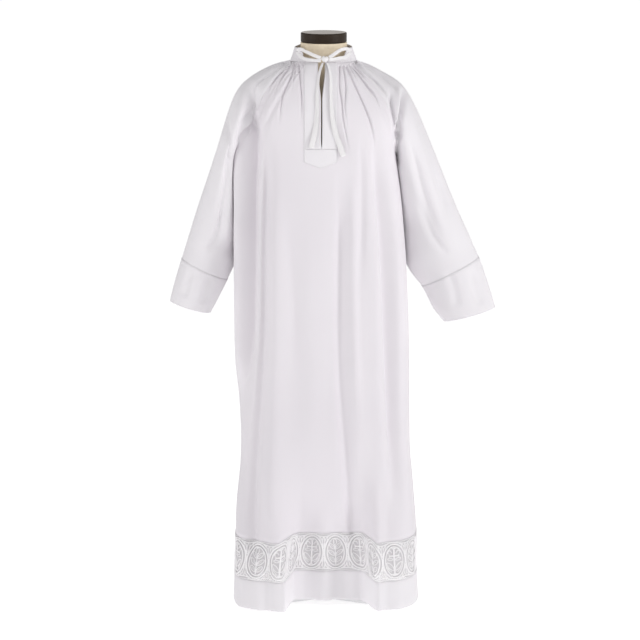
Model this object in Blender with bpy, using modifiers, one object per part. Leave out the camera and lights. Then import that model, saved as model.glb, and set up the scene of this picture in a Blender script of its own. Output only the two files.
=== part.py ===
"""Alb robe on a limbless dress form.

A long white alb: front and back gathered into a small stand collar, raglan sleeves with
deep turned cuffs, a slit with a placket and a five-sided patch, ties in a bow, a lace
insertion near the hem and a plain hem band.  The cloth hangs on a tailor's dress form
with a turned neck cap, a pole and a flat crossed foot.

Units are metres, +Z is up and the front of the robe faces -Y.  +X is the wearer's left.
The origin is the centre of the foot's underside.
"""

import math

import bmesh
import bpy
from mathutils import Vector

# ---------------------------------------------------------------- driving dimensions
CLOTH = 0.0015            # wall of all single cloth
CUFF_WALL = 0.002
SEAM_GAP = 0.0004         # each panel stops this short of a seam line
RAGLAN_GAP = 0.0012       # the sleeve stands this far off the body near the underarm
CUFF_GAP = 0.0003         # the sleeve and the cuff each stop this short of their seam
LAY_GAP = 0.0006          # clearance under a piece that lies on a panel

NECK_RADIUS = 0.062       # the form's neck
CAP_HEIGHT = 0.026
CAP_TOP = 1.569
CAP_RADIUS = 0.0615

NECKLINE_RADIUS = 0.088   # where the gathers are sewn to the collar
NECKLINE_FRONT_Z = 1.498
NECKLINE_SIDE_Z = 1.494
NECKLINE_BACK_Z = 1.502
COLLAR_TOP_RADIUS = 0.077
COLLAR_HEIGHT = 0.036
COLLAR_WALL = 0.002       # two layers of cloth
COLLAR_LIFT = 0.0012      # clearance over the gathered panels
BINDING_HEIGHT = 0.006    # the collar narrows to this beside the slit
BINDING_END = 0.006       # how far each end stands back from the slit
OPEN_FROM_ANGLE = 34.0    # the collar rises from the binding to its full height
OPEN_TO_ANGLE = 56.0      # between these two girth angles

UNDERARM_Z = 1.238
LACE_TOP_Z = 0.2165
LACE_BOTTOM_Z = 0.1045
HEM_Z = 0.018

SLIT_X = -0.006
SLIT_BOTTOM_Z = 1.274
SLIT_HALF_WIDTH = 0.0012
SLIT_GAPE = 0.0045        # extra half width where the slit gapes below the bow
SLIT_GAPE_Z = 1.468
SLIT_GAPE_LENGTH = 0.030
SLIT_CLOSING = 0.020      # the slit narrows to nothing over this height
PLACKET_LEFT_X = -0.052
PLACKET_RIGHT_X = 0.035
PATCH_SIDE_Z = 1.239
PATCH_POINT_Z = 1.223

TIE_WIDTH = 0.009
TIE_THICKNESS = 0.0015
LOOP_LOW_Z = 1.500        # a tie lies off the neckline above this, off the front below
LOOP_REACH_X = 0.080
KNOT_CENTRE = (0.003, -0.0985, 1.507)
KNOT_SIZE = (0.019, 0.011, 0.017)

CAP_EDGE = 0.002
POLE_RADIUS = 0.0125
POLE_FLARE = ((0.0125, 0.070), (0.022, 0.060), (0.026, 0.0084))
FORM_GAP = 0.0004         # between the form's own pieces
HUB_RADIUS = 0.040
BAR_SIZE = (0.420, 0.030, 0.008)
BAR_ANGLE = 24.0          # the two foot bars cross at this angle either side of X
TORSO_BOTTOM_Z = 0.790

# ---------------------------------------------------------------- section tables
# Body below the underarm, as half widths and half depths at each height.
# "square" below 1 fills the section out towards its corners.
BODY = {
    "z":      (1.238, 1.080, 0.927, 0.700, 0.560, 0.460, 0.335, 0.220, 0.106, 0.018),
    "left":   (0.196, 0.213, 0.2250, 0.2335, 0.235, 0.2365, 0.247, 0.2555, 0.2575, 0.262),
    "right":  (0.243, 0.241, 0.2424, 0.2426, 0.231, 0.227, 0.2326, 0.2385, 0.245, 0.249),
    "front":  (0.146, 0.150, 0.152, 0.157, 0.162, 0.168, 0.178, 0.188, 0.197, 0.202),
    "back":   (0.142, 0.144, 0.146, 0.150, 0.154, 0.158, 0.164, 0.170, 0.175, 0.178),
    "square": (0.86, 0.84, 0.82, 0.80, 0.78, 0.74, 0.70, 0.64, 0.60, 0.58),
}

# Front and back centre lines above the underarm, by level (0 neckline, 1 underarm).
CENTRE = {
    "level":   (0.0, 0.25, 0.50, 0.75, 1.0),
    "front_y": (-0.088, -0.112, -0.130, -0.141, -0.146),
    "front_z": (NECKLINE_FRONT_Z, 1.452, 1.390, 1.316, UNDERARM_Z),
    "back_y":  (0.088, 0.110, 0.127, 0.137, 0.142),
    "back_z":  (NECKLINE_BACK_Z, 1.458, 1.390, 1.316, UNDERARM_Z),
    "span":    (62.0, 66.0, 72.0, 80.0, 90.0),
    "square":  (1.0, 0.98, 0.94, 0.90, 0.86),
}

# Sleeves, by level (0 neckline, 1 underarm, 2 cuff seam, 2.5 cuff edge).  Each section
# is an ellipse that hangs from its outer point: "out_x", "out_z", its full width, the
# tilt of that width, its half depth front to back, how far its inner edge hangs to the
# rear, and the angle from the outer point to the raglan seam, which closes to 180
# degrees at the underarm.
SLEEVE_LEFT = {
    "level":   (0.0, 0.12, 0.25, 0.50, 0.75, 0.90, 1.0, 1.25, 1.50, 1.75, 2.0, 2.25, 2.50),
    "out_x":   (0.088, 0.1154, 0.150, 0.2066, 0.253, 0.274, 0.2898, 0.3405, 0.3903, 0.406,
                0.4209, 0.449, 0.4665),
    "out_z":   (1.494, 1.4855, 1.4685, 1.4320, 1.361, 1.311, 1.2712, 1.1381, 1.0287, 0.992,
                0.9600, 0.880, 0.8225),
    "width":   (0.176, 0.190, 0.190, 0.140, 0.108, 0.104, 0.0995, 0.134, 0.1765, 0.190,
                0.1760, 0.1640, 0.1455),
    "tilt":    (0.0, 14.0, 28.0, 45.0, 38.0, 29.0, 19.5, 15.0, 14.5, 18.0, 29.4, 23.5, 17.6),
    "depth":   (0.088, 0.100, 0.110, 0.106, 0.107, 0.103, 0.088, 0.072, 0.062, 0.056,
                0.052, 0.048, 0.044),
    "rear":    (0.0, 0.0, 0.0, 0.0, 0.0, 0.0, 0.0, 0.036, 0.046, 0.046, 0.038, 0.030, 0.024),
    "opening": (28.0, 39.0, 50.0, 85.0, 118.0, 146.0, 180.0, 180.0, 180.0, 180.0, 180.0,
                180.0, 180.0),
}
SLEEVE_RIGHT = {
    "level":   SLEEVE_LEFT["level"],
    "out_x":   (0.088, 0.117, 0.153, 0.2160, 0.2565, 0.270, 0.2825, 0.3259, 0.3622, 0.373,
                0.3846, 0.405, 0.4176),
    "out_z":   (1.494, 1.4885, 1.4755, 1.4360, 1.368, 1.314, 1.262, 1.1435, 1.0287, 0.994,
                0.9572, 0.890, 0.8410),
    "width":   (0.176, 0.190, 0.190, 0.140, 0.090, 0.060, 0.0462, 0.0923, 0.1296, 0.1434,
                0.1388, 0.127, 0.1155),
    "tilt":    (0.0, 14.0, 28.0, 45.0, 40.0, 34.0, 31.0, 21.3, 19.7, 23.0, 27.9, 23.0, 19.2),
    "depth":   (0.088, 0.100, 0.110, 0.106, 0.107, 0.100, 0.086, 0.074, 0.067, 0.062,
                0.058, 0.054, 0.050),
    "rear":    SLEEVE_LEFT["rear"],
    "opening": SLEEVE_LEFT["opening"],
}

# The largest folds.  Each is a soft trough (negative depth) or ridge whose middle runs
# from one girth angle to another (0 front, 90 the wearer's left side, 180 back) between
# two heights, and fades in and out over "fade" metres.
FOLD_COLUMNS = ("top_angle", "low_angle", "top_z", "low_z", "half_width", "depth", "fade")
BODY_FOLDS = (
    (-51.0, -49.0, 1.420, 0.420, 9.0, -0.024, 0.16),
    (-33.0, -46.0, 1.440, 0.230, 6.5, -0.015, 0.22),
    (-41.0, -38.0, 1.400, 0.300, 5.0, 0.009, 0.20),
    (8.0, 15.0, 1.300, 0.200, 6.0, -0.013, 0.25),
    (20.0, 22.0, 1.330, 0.500, 7.0, 0.009, 0.25),
    (44.0, 53.0, 1.360, 0.250, 7.0, -0.018, 0.20),
    (62.0, 66.0, 1.150, 0.050, 9.0, 0.006, 0.25),
    (128.0, 132.0, 1.380, 0.020, 9.0, -0.022, 0.22),
    (156.0, 153.0, 1.400, 0.018, 8.0, -0.018, 0.25),
    (183.0, 186.0, 1.420, 0.018, 9.0, -0.024, 0.22),
    (212.0, 209.0, 1.380, 0.018, 8.0, -0.018, 0.25),
    (236.0, 233.0, 1.350, 0.018, 9.0, -0.022, 0.22),
)

# The deep hollow between the two front lobes of the skirt: its side positions and how
# far each side takes to turn back, at the hem.
HOLLOW_DEPTH = 0.112
HOLLOW_LEFT_X = -0.098
HOLLOW_RIGHT_X = 0.121
HOLLOW_LEFT_TURN = 0.014
HOLLOW_RIGHT_TURN = 0.034
HOLLOW_TOP_Z = 0.560

# Sleeve folds: level range, girth angle range (0 outer edge, -90 front, 90 back),
# half width in degrees and depth.
SLEEVE_FOLD_COLUMNS = ("top_level", "low_level", "top_angle", "low_angle", "half_width", "depth")
SLEEVE_FOLDS = (
    (0.35, 1.95, -62.0, -96.0, 15.0, -0.009),
    (0.55, 1.70, -28.0, -50.0, 12.0, -0.006),
    (0.40, 1.90, 60.0, 92.0, 16.0, -0.009),
    (0.60, 1.80, 24.0, 44.0, 12.0, -0.006),
)

# Dress form sections.
TORSO = {
    "z":      (1.5425, 1.520, 1.500, 1.485, 1.468, 1.448, 1.420, 1.380, 1.330, 1.250, 1.170,
               1.080, 1.000, 0.900, 0.830, 0.800, TORSO_BOTTOM_Z),
    "half_x": (0.0620, 0.0622, 0.0650, 0.088, 0.130, 0.166, 0.190, 0.201, 0.200, 0.184, 0.165,
               0.148, 0.150, 0.166, 0.170, 0.166, 0.155),
    "half_y": (0.0620, 0.0622, 0.0640, 0.067, 0.072, 0.078, 0.085, 0.092, 0.099, 0.104, 0.099,
               0.090, 0.091, 0.100, 0.104, 0.101, 0.095),
}

# Ties: the bow's two loops and two tails, as points (x, z, distance in front of the
# cloth) that a smooth curve runs through.
LOOP_RIGHT_SIDE = ((-0.0075, 1.510, 0.013), (-0.024, 1.516, 0.014), (-0.046, 1.525, 0.014),
                   (-0.062, 1.531, 0.013), (-0.070, 1.523, 0.012), (-0.058, 1.509, 0.011),
                   (-0.034, 1.504, 0.011), (-0.0078, 1.503, 0.012))
LOOP_LEFT_SIDE = ((0.0135, 1.511, 0.013), (0.028, 1.520, 0.014), (0.044, 1.530, 0.014),
                  (0.060, 1.532, 0.013), (0.071, 1.523, 0.012), (0.058, 1.511, 0.011),
                  (0.038, 1.508, 0.011), (0.0138, 1.505, 0.012))
TAIL_RIGHT_SIDE = ((-0.003, 1.4965, 0.008), (-0.012, 1.470, 0.006), (-0.017, 1.430, 0.005),
                   (-0.018, 1.380, 0.005), (-0.022, 1.330, 0.005), (-0.033, 1.278, 0.006))
TAIL_LEFT_SIDE = ((0.009, 1.4965, 0.008), (0.017, 1.470, 0.006), (0.019, 1.420, 0.005),
                  (0.021, 1.370, 0.005), (0.030, 1.320, 0.005), (0.052, 1.256, 0.006))

# ---------------------------------------------------------------- mesh density
BODY_ROWS_TOP = 8
BODY_ROWS_LOW = 10
PLACKET_COLUMNS = 3
SIDE_COLUMNS = 11
SLEEVE_COLUMNS = 16
SLEEVE_ROWS_TOP = 8
SLEEVE_ROWS_LOW = 7
CUFF_ROWS = 3
RING_COLUMNS = 56
RING_ROWS = 2
COLLAR_COLUMNS = 38
TORSO_COLUMNS = 28

MATERIALS = {
    "alb_cloth": ((0.86, 0.85, 0.87, 1.0), 0.85, 0.0),
    "alb_lace": ((0.80, 0.79, 0.79, 1.0), 0.80, 0.0),
    "tie_tape": ((0.88, 0.87, 0.87, 1.0), 0.75, 0.0),
    "form_linen": ((0.68, 0.58, 0.44, 1.0), 0.90, 0.0),
    "cap_wood": ((0.060, 0.036, 0.022, 1.0), 0.35, 0.0),
    "stand_steel": ((0.55, 0.55, 0.56, 1.0), 0.30, 1.0),
}


# ---------------------------------------------------------------- curves through tables
def smooth_value(xs, ys, x):
    """Cubic curve through (xs, ys) at x, with slopes that never overshoot a level run."""
    rising = xs[-1] > xs[0]
    if not rising:
        xs = tuple(-value for value in xs)
        x = -x
    x = min(max(x, xs[0]), xs[-1])
    last = len(xs) - 1
    i = next((k for k in range(last) if x <= xs[k + 1]), last - 1)

    def chord(k):
        return (ys[k + 1] - ys[k]) / (xs[k + 1] - xs[k])

    def slope(k):
        if k == 0:
            return chord(0)
        if k == last:
            return chord(last - 1)
        before, after = chord(k - 1), chord(k)
        if before * after <= 0.0:
            return 0.0
        return 2.0 * before * after / (before + after)

    step = xs[i + 1] - xs[i]
    t = (x - xs[i]) / step
    return (ys[i] * (1 + 2 * t) * (1 - t) ** 2 + slope(i) * step * t * (1 - t) ** 2
            + ys[i + 1] * t * t * (3 - 2 * t) + slope(i + 1) * step * t * t * (t - 1))


def column(table, name, at, key):
    return smooth_value(table[key], table[name], at)


def ease(x, low, high):
    """0 below low, 1 above high, smooth between."""
    t = min(max((x - low) / (high - low), 0.0), 1.0)
    return t * t * (3.0 - 2.0 * t)


def spline_points(points, count):
    """Points evenly spread by index on a smooth curve through the given ones."""
    out = []
    for k in range(count):
        at = k * (len(points) - 1) / (count - 1)
        i = min(int(at), len(points) - 2)
        t = at - i
        before = points[max(i - 1, 0)]
        start, end = points[i], points[i + 1]
        after = points[min(i + 2, len(points) - 1)]
        out.append(tuple(
            0.5 * ((2 * b) + (c - a) * t + (2 * a - 5 * b + 4 * c - d) * t * t
                   + (3 * b - a - 3 * c + d) * t ** 3)
            for a, b, c, d in zip(before, start, end, after)))
    return out


# ---------------------------------------------------------------- the robe's surfaces
def fold_offset(angle, z):
    """Sum of the body folds at a girth angle in degrees and a height."""
    total = 0.0
    for row in BODY_FOLDS:
        fold = dict(zip(FOLD_COLUMNS, row))
        run = (fold["top_z"] - z) / (fold["top_z"] - fold["low_z"])
        middle = fold["top_angle"] + (fold["low_angle"] - fold["top_angle"]) * min(max(run, 0), 1)
        away = (angle - middle + 180.0) % 360.0 - 180.0
        shape = math.exp(-(away / fold["half_width"]) ** 2)
        fade_in = ease(-z, -fold["top_z"], -fold["top_z"] + fold["fade"])
        fade_out = 1.0
        if fold["low_z"] > LACE_TOP_Z:
            fade_out = ease(z, fold["low_z"] - fold["fade"], fold["low_z"] + fold["fade"])
        total += fold["depth"] * shape * fade_in * fade_out
    return total


def hollow_offset(x, z):
    """How far the front is set back between the two lobes of the skirt."""
    strength = ease(-z, -HOLLOW_TOP_Z, -HEM_Z) ** 1.3
    left = ease(x, HOLLOW_LEFT_X - HOLLOW_LEFT_TURN / 2, HOLLOW_LEFT_X + HOLLOW_LEFT_TURN / 2)
    right = ease(-x, -HOLLOW_RIGHT_X - HOLLOW_RIGHT_TURN / 2,
                 -HOLLOW_RIGHT_X + HOLLOW_RIGHT_TURN / 2)
    return HOLLOW_DEPTH * strength * left * right


def body_point(angle, z):
    """Point of the skirt at a girth angle in degrees and a height below the underarm."""
    turn = math.radians(angle)
    side = "left" if math.sin(turn) >= 0.0 else "right"
    face = "front" if math.cos(turn) >= 0.0 else "back"
    half_width = column(BODY, side, z, "z")
    half_depth = column(BODY, face, z, "z")
    power = column(BODY, "square", z, "z")
    across = math.copysign(abs(math.sin(turn)) ** power, math.sin(turn))
    along = -math.copysign(abs(math.cos(turn)) ** power, math.cos(turn))
    x, y = half_width * across, half_depth * along
    outward = Vector((across / half_width, along / half_depth, 0.0)).normalized()
    offset = fold_offset(angle, z)
    x += outward.x * offset
    y += outward.y * offset
    if face == "front":
        y += hollow_offset(x, z)
    return Vector((x, y, z))


def sleeve_section(table, level):
    return {name: column(table, name, level, "level") for name in table if name != "level"}


def sleeve_point(table, side, level, share):
    """Point of a sleeve; share runs from -1 at the front seam to 1 at the back seam."""
    part = sleeve_section(table, level)
    half_width = part["width"] / 2
    tilt = math.radians(part["tilt"])
    turn = math.radians(part["opening"]) * share
    across = Vector((math.cos(tilt), 0.0, math.sin(tilt)))
    outer = Vector((part["out_x"], 0.0, part["out_z"]))
    offset = 0.0
    for row in SLEEVE_FOLDS:
        fold = dict(zip(SLEEVE_FOLD_COLUMNS, row))
        run = (level - fold["top_level"]) / (fold["low_level"] - fold["top_level"])
        if 0.0 < run < 1.0:
            middle = fold["top_angle"] + (fold["low_angle"] - fold["top_angle"]) * run
            away = (math.degrees(turn) - middle) / fold["half_width"]
            offset += fold["depth"] * math.exp(-away * away) * math.sin(math.pi * run)
    edge = 1.0 - abs(share) ** 6 if level < 1.0 else 1.0
    point = (outer + across * (half_width * (math.cos(turn) - 1.0))
             + Vector((0.0, part["depth"] * math.sin(turn), 0.0)))
    outward = across * math.cos(turn) + Vector((0.0, math.sin(turn), 0.0))
    point += outward * offset * edge
    point.y += part["rear"] * (1.0 - math.cos(turn)) / 2
    point.x *= side
    return point


def seam_point(side, face, level):
    """Point of the raglan seam, from the neckline down to the underarm."""
    table = SLEEVE_LEFT if side > 0 else SLEEVE_RIGHT
    return sleeve_point(table, side, level, -1.0 if face == "front" else 1.0)


def panel_point(face, side, level, turn):
    """Point of the front or back; turn is 0 at its centre and 1 at its seam."""
    sign = 1.0 if side > 0 else -1.0
    if level >= 1.0:
        z = UNDERARM_Z + (LACE_TOP_Z - UNDERARM_Z) * (level - 1.0)
        angle = 90.0 * turn if face == "front" else 180.0 - 90.0 * turn
        return body_point(sign * angle, z)
    span = math.radians(column(CENTRE, "span", level, "level"))
    power = column(CENTRE, "square", level, "level")
    edge = seam_point(side, face, level)
    mid_y = column(CENTRE, face + "_y", level, "level")
    mid_z = column(CENTRE, face + "_z", level, "level")
    at = span * turn
    across = (math.sin(at) / math.sin(span)) ** power if turn > 0.0 else 0.0
    inward = (math.cos(at) - math.cos(span)) / (1.0 - math.cos(span))
    inward = max(inward, 0.0) ** power
    z = mid_z + (edge.z - mid_z) * (1.0 - inward)
    point = Vector((edge.x * across, edge.y + (mid_y - edge.y) * inward, z))
    angle = 90.0 * turn if face == "front" else 180.0 - 90.0 * turn
    offset = fold_offset(sign * angle, z) * (1.0 - turn ** 8)
    outward = Vector((point.x, point.y * 1.8, 0.0)).normalized()
    return point + outward * offset


def turn_at_x(face, side, level, x):
    """The turn of the panel point that lies at a given distance across."""
    low, high = 0.0, 1.0
    for _ in range(24):
        middle = (low + high) / 2
        if abs(panel_point(face, side, level, middle).x) < abs(x):
            low = middle
        else:
            high = middle
    return (low + high) / 2


# ---------------------------------------------------------------- mesh helpers
def make_material(name):
    colour, roughness, metallic = MATERIALS[name]
    material = bpy.data.materials.new(name)
    material.use_nodes = True
    shader = material.node_tree.nodes["Principled BSDF"]
    shader.inputs["Base Color"].default_value = colour
    shader.inputs["Roughness"].default_value = roughness
    shader.inputs["Metallic"].default_value = metallic
    material.diffuse_color = colour
    return material


def add_mesh(name, mesh, material, parts):
    item = bpy.data.objects.new(name, mesh)
    item.data.materials.append(material)
    parts.objects.link(item)
    item.data.shade_smooth()
    return item


def sheet_mesh(name, rows, closed=False):
    """A surface through rows of points that run anticlockwise seen from above."""
    work = bmesh.new()
    verts = [[work.verts.new(point) for point in row] for row in rows]
    for upper, lower in zip(verts, verts[1:]):
        count = len(upper) if closed else len(upper) - 1
        for k in range(count):
            n = (k + 1) % len(upper)
            work.faces.new((upper[k], lower[k], lower[n], upper[n]))
    bmesh.ops.remove_doubles(work, verts=work.verts, dist=0.00002)
    mesh = bpy.data.meshes.new(name)
    work.to_mesh(mesh)
    work.free()
    return mesh


def cloth(name, rows, material, parts, closed=False, wall=CLOTH, offset=-1.0):
    item = add_mesh(name, sheet_mesh(name, rows, closed), material, parts)
    solid = item.modifiers.new("wall", "SOLIDIFY")
    solid.thickness = wall
    solid.offset = offset
    solid.use_even_offset = True
    solid.thickness_clamp = 1.0
    return item


def trim_row(row, gap=SEAM_GAP):
    """Stops a row short of the seams at both its ends."""
    row = list(row)
    for end, inner in ((0, 1), (-1, -2)):
        toward = row[inner] - row[end]
        row[end] = row[end] + toward.normalized() * gap
    return row


def spread(low, high, count):
    return [low + (high - low) * k / count for k in range(count + 1)]


def slit_level():
    """Level at which the front's centre line passes the foot of the slit."""
    low, high = 0.0, 1.0
    for _ in range(30):
        middle = (low + high) / 2
        if column(CENTRE, "front_z", middle, "level") > SLIT_BOTTOM_Z:
            low = middle
        else:
            high = middle
    return high


def panel_levels():
    """Row levels of the front and back, with one row at the slit's foot."""
    top = spread(0.0, slit_level(), BODY_ROWS_TOP)
    low = spread(1.0, 2.0, BODY_ROWS_LOW)
    return top + low


# ---------------------------------------------------------------- the cloth pieces
def half_turns(face, side, level, placket_x):
    """Turns from beside the slit to the seam, with a fixed strip under the placket."""
    strip = turn_at_x(face, side, level, placket_x)
    start = turn_at_x(face, side, level, SLIT_X) if side < 0 else 0.0
    inner = spread(start, strip, PLACKET_COLUMNS)
    outer = spread(strip, 1.0, SIDE_COLUMNS)[1:]
    return inner[1:] + outer


def slit_half_width(z):
    """The slit gapes below the bow and closes to a thin line."""
    gape = SLIT_GAPE * math.exp(-((z - SLIT_GAPE_Z) / SLIT_GAPE_LENGTH) ** 2)
    return (SLIT_HALF_WIDTH + gape) * ease(z, SLIT_BOTTOM_Z, SLIT_BOTTOM_Z + SLIT_CLOSING)


def front_half(side):
    """Rows of one half of the front, from the slit to the seam."""
    placket_x = PLACKET_RIGHT_X if side > 0 else PLACKET_LEFT_X
    rows = []
    for level in panel_levels():
        slit = panel_point("front", -1, level, turn_at_x("front", -1, level, SLIT_X))
        slit.x = SLIT_X + side * slit_half_width(slit.z)
        row = [slit] + [panel_point("front", side, level, turn)
                        for turn in half_turns("front", side, level, placket_x)]
        toward = row[-2] - row[-1]
        row[-1] = row[-1] + toward.normalized() * SEAM_GAP
        rows.append(row)
    return rows


def build_front(material, parts):
    right = front_half(1)
    left = front_half(-1)
    work = bmesh.new()
    for rows, flip in ((right, False), (left, True)):
        verts = [[work.verts.new(point) for point in row] for row in rows]
        for upper, lower in zip(verts, verts[1:]):
            for k in range(len(upper) - 1):
                ring = [upper[k], lower[k], lower[k + 1], upper[k + 1]]
                work.faces.new(reversed(ring) if flip else ring)
    bmesh.ops.remove_doubles(work, verts=work.verts, dist=0.00002)
    mesh = bpy.data.meshes.new("front_panel")
    work.to_mesh(mesh)
    work.free()
    item = add_mesh("front_panel", mesh, material, parts)
    solid = item.modifiers.new("wall", "SOLIDIFY")
    solid.thickness = CLOTH
    solid.offset = -1.0
    solid.use_even_offset = True
    return left, right


def build_back(material, parts):
    rows = []
    turns = spread(0.0, 1.0, PLACKET_COLUMNS + SIDE_COLUMNS - 1)
    for level in panel_levels():
        left_side = [panel_point("back", 1, level, turn) for turn in reversed(turns)]
        right_side = [panel_point("back", -1, level, turn) for turn in turns[1:]]
        rows.append(trim_row(left_side + right_side))
    cloth("back_panel", rows, material, parts)


def build_sleeve(name, table, side, material, parts):
    shares = spread(-1.0, 1.0, SLEEVE_COLUMNS)
    levels = spread(0.0, 1.0, SLEEVE_ROWS_TOP) + spread(1.0, 2.0, SLEEVE_ROWS_LOW)[1:]
    rows = []
    for level in levels:
        clear = RAGLAN_GAP * ease(level, 0.55, 0.95)
        row = [sleeve_point(table, side, level, share) for share in shares]
        row = [point + Vector((side * clear, 0.0, 0.0)) for point in row]
        if level < 0.999:
            row = trim_row(row)
        if level > 1.999:
            row = [point + Vector((0.0, 0.0, CUFF_GAP)) for point in row]
        rows.append(row if side > 0 else row[::-1])
    cloth(name, rows, material, parts)


def build_cuff(name, table, side, material, parts):
    """The turned cuff stands a little proud of the sleeve at its seam."""
    shares = spread(-1.0, 1.0, SLEEVE_COLUMNS)[:-1]
    rows = []
    for level in spread(2.0, 2.5, CUFF_ROWS):
        row = [sleeve_point(table, side, level, share) for share in shares]
        row = [point + Vector((side * RAGLAN_GAP, 0.0, -CUFF_GAP)) for point in row]
        rows.append(row if side > 0 else row[::-1])
    cloth(name, rows, material, parts, closed=True, wall=CUFF_WALL)


def build_ring(name, top_z, low_z, material, parts):
    angles = [360.0 * k / RING_COLUMNS for k in range(RING_COLUMNS)]
    rows = [[body_point(angle, z) for angle in angles]
            for z in spread(top_z, low_z, RING_ROWS)]
    cloth(name, rows, material, parts, closed=True)


def neckline_z(angle):
    """Height of the neckline round the neck."""
    front = math.cos(math.radians(angle))
    rise = NECKLINE_FRONT_Z if front > 0 else NECKLINE_BACK_Z
    return NECKLINE_SIDE_Z + (rise - NECKLINE_SIDE_Z) * abs(front) ** 2


def collar_height(angle):
    """Full height round the neck, falling to a narrow binding beside the slit."""
    away = min(angle, 360.0 - angle)
    rise = ease(away, OPEN_FROM_ANGLE, OPEN_TO_ANGLE)
    return BINDING_HEIGHT + (COLLAR_HEIGHT - BINDING_HEIGHT) * rise


def build_collar(material, parts):
    start = math.degrees(math.asin((SLIT_X + BINDING_END) / NECKLINE_RADIUS))
    end = 360.0 + math.degrees(math.asin((SLIT_X - BINDING_END) / NECKLINE_RADIUS))
    rows = []
    for share in (0.0, 0.5, 1.0):
        row = []
        for k in range(COLLAR_COLUMNS + 1):
            angle = start + (end - start) * k / COLLAR_COLUMNS
            turn = math.radians(angle)
            height = collar_height(angle) * (1.0 - share)
            lean = height / COLLAR_HEIGHT
            radius = NECKLINE_RADIUS + (COLLAR_TOP_RADIUS - NECKLINE_RADIUS) * lean
            z = neckline_z(angle) + COLLAR_LIFT + height
            row.append(Vector((radius * math.sin(turn), -radius * math.cos(turn), z)))
        rows.append(row)
    cloth("collar_band", rows, material, parts, wall=COLLAR_WALL)


def moved_out(rows, side, distance):
    """Rows of points moved off the robe along the surface's own normals."""
    out = []
    for r, row in enumerate(rows):
        above, below = rows[max(r - 1, 0)], rows[min(r + 1, len(rows) - 1)]
        moved = []
        for k, point in enumerate(row):
            across = row[min(k + 1, len(row) - 1)] - row[max(k - 1, 0)]
            down = below[k] - above[k]
            moved.append(point + down.cross(across).normalized() * side * distance)
        out.append(moved)
    return out


def build_placket(left, right, material, parts):
    """Two strips beside the slit, made from the front's own points, moved out."""
    for name, half, side in (("placket_left", right, 1), ("placket_right", left, -1)):
        rows = [row[:PLACKET_COLUMNS + 2] for row in half[:BODY_ROWS_TOP + 1]]
        rows = [row[:-1] for row in moved_out(rows, side, LAY_GAP + CLOTH)]
        for point in rows[-1]:
            point.x += side * SEAM_GAP
            point.z += SEAM_GAP
        cloth(name, [row if side > 0 else row[::-1] for row in rows], material, parts)


def build_patch(material, parts):
    """Five-sided patch over the foot of the slit."""
    xs = (spread(PLACKET_LEFT_X, SLIT_X, PLACKET_COLUMNS)
          + spread(SLIT_X, PLACKET_RIGHT_X, PLACKET_COLUMNS)[1:])
    rows = []
    for share in (0.0, 0.5, 1.0):
        row = []
        for x in xs:
            half = PLACKET_RIGHT_X - SLIT_X if x > SLIT_X else SLIT_X - PLACKET_LEFT_X
            low = PATCH_POINT_Z + (PATCH_SIDE_Z - PATCH_POINT_Z) * abs(x - SLIT_X) / half
            z = SLIT_BOTTOM_Z - SEAM_GAP + (low - SLIT_BOTTOM_Z + SEAM_GAP) * share
            row.append(Vector((x, front_y(x, z) - LAY_GAP - CLOTH, z)))
        rows.append(row)
    cloth("placket_patch", rows, material, parts)


def front_y(x, z):
    """Depth of the front's surface at a place across and a height."""
    side = 1 if x >= 0.0 else -1
    low, high = 0.0, 2.0
    for _ in range(22):
        level = (low + high) / 2
        if panel_point("front", side, level, turn_at_x("front", side, level, x)).z > z:
            low = level
        else:
            high = level
    return panel_point("front", side, level, turn_at_x("front", side, level, x)).y


def build_ribbon(name, points, count, flat, material, parts):
    """A flat tape along a smooth curve; flat is the direction its width follows."""
    path = []
    for x, z, clear in spline_points(points, count):
        if z > LOOP_LOW_Z:
            reach = math.sqrt(NECKLINE_RADIUS ** 2 - min(abs(x), LOOP_REACH_X) ** 2)
            path.append(Vector((x, -reach - clear, z)))
        else:
            path.append(Vector((x, front_y(x, z) - clear, z)))
    rows = []
    for k, point in enumerate(path):
        along = (path[min(k + 1, count - 1)] - path[max(k - 1, 0)]).normalized()
        wide = flat - along * flat.dot(along)
        wide = wide.normalized() * (TIE_WIDTH / 2)
        rows.append([point - wide, point + wide])
    cloth(name, rows, material, parts, wall=TIE_THICKNESS, offset=0.0)


def build_knot(material, parts):
    bpy.ops.mesh.primitive_uv_sphere_add(segments=14, ring_count=8, radius=0.5,
                                         location=KNOT_CENTRE)
    knot = bpy.context.object
    knot.name = "tie_knot"
    knot.data.name = "tie_knot"
    knot.scale = KNOT_SIZE
    bpy.ops.object.transform_apply(location=False, rotation=False, scale=True)
    for owner in list(knot.users_collection):
        owner.objects.unlink(knot)
    parts.objects.link(knot)
    knot.data.materials.append(material)
    knot.data.shade_smooth()


def build_ties(material, parts):
    build_knot(material, parts)
    up = Vector((0.0, 0.0, 1.0))
    across = Vector((1.0, 0.0, 0.0))
    build_ribbon("tie_loop_right", LOOP_RIGHT_SIDE, 19, up, material, parts)
    build_ribbon("tie_loop_left", LOOP_LEFT_SIDE, 19, up, material, parts)
    build_ribbon("tie_tail_right", TAIL_RIGHT_SIDE, 13, across, material, parts)
    build_ribbon("tie_tail_left", TAIL_LEFT_SIDE, 13, across, material, parts)


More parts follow.
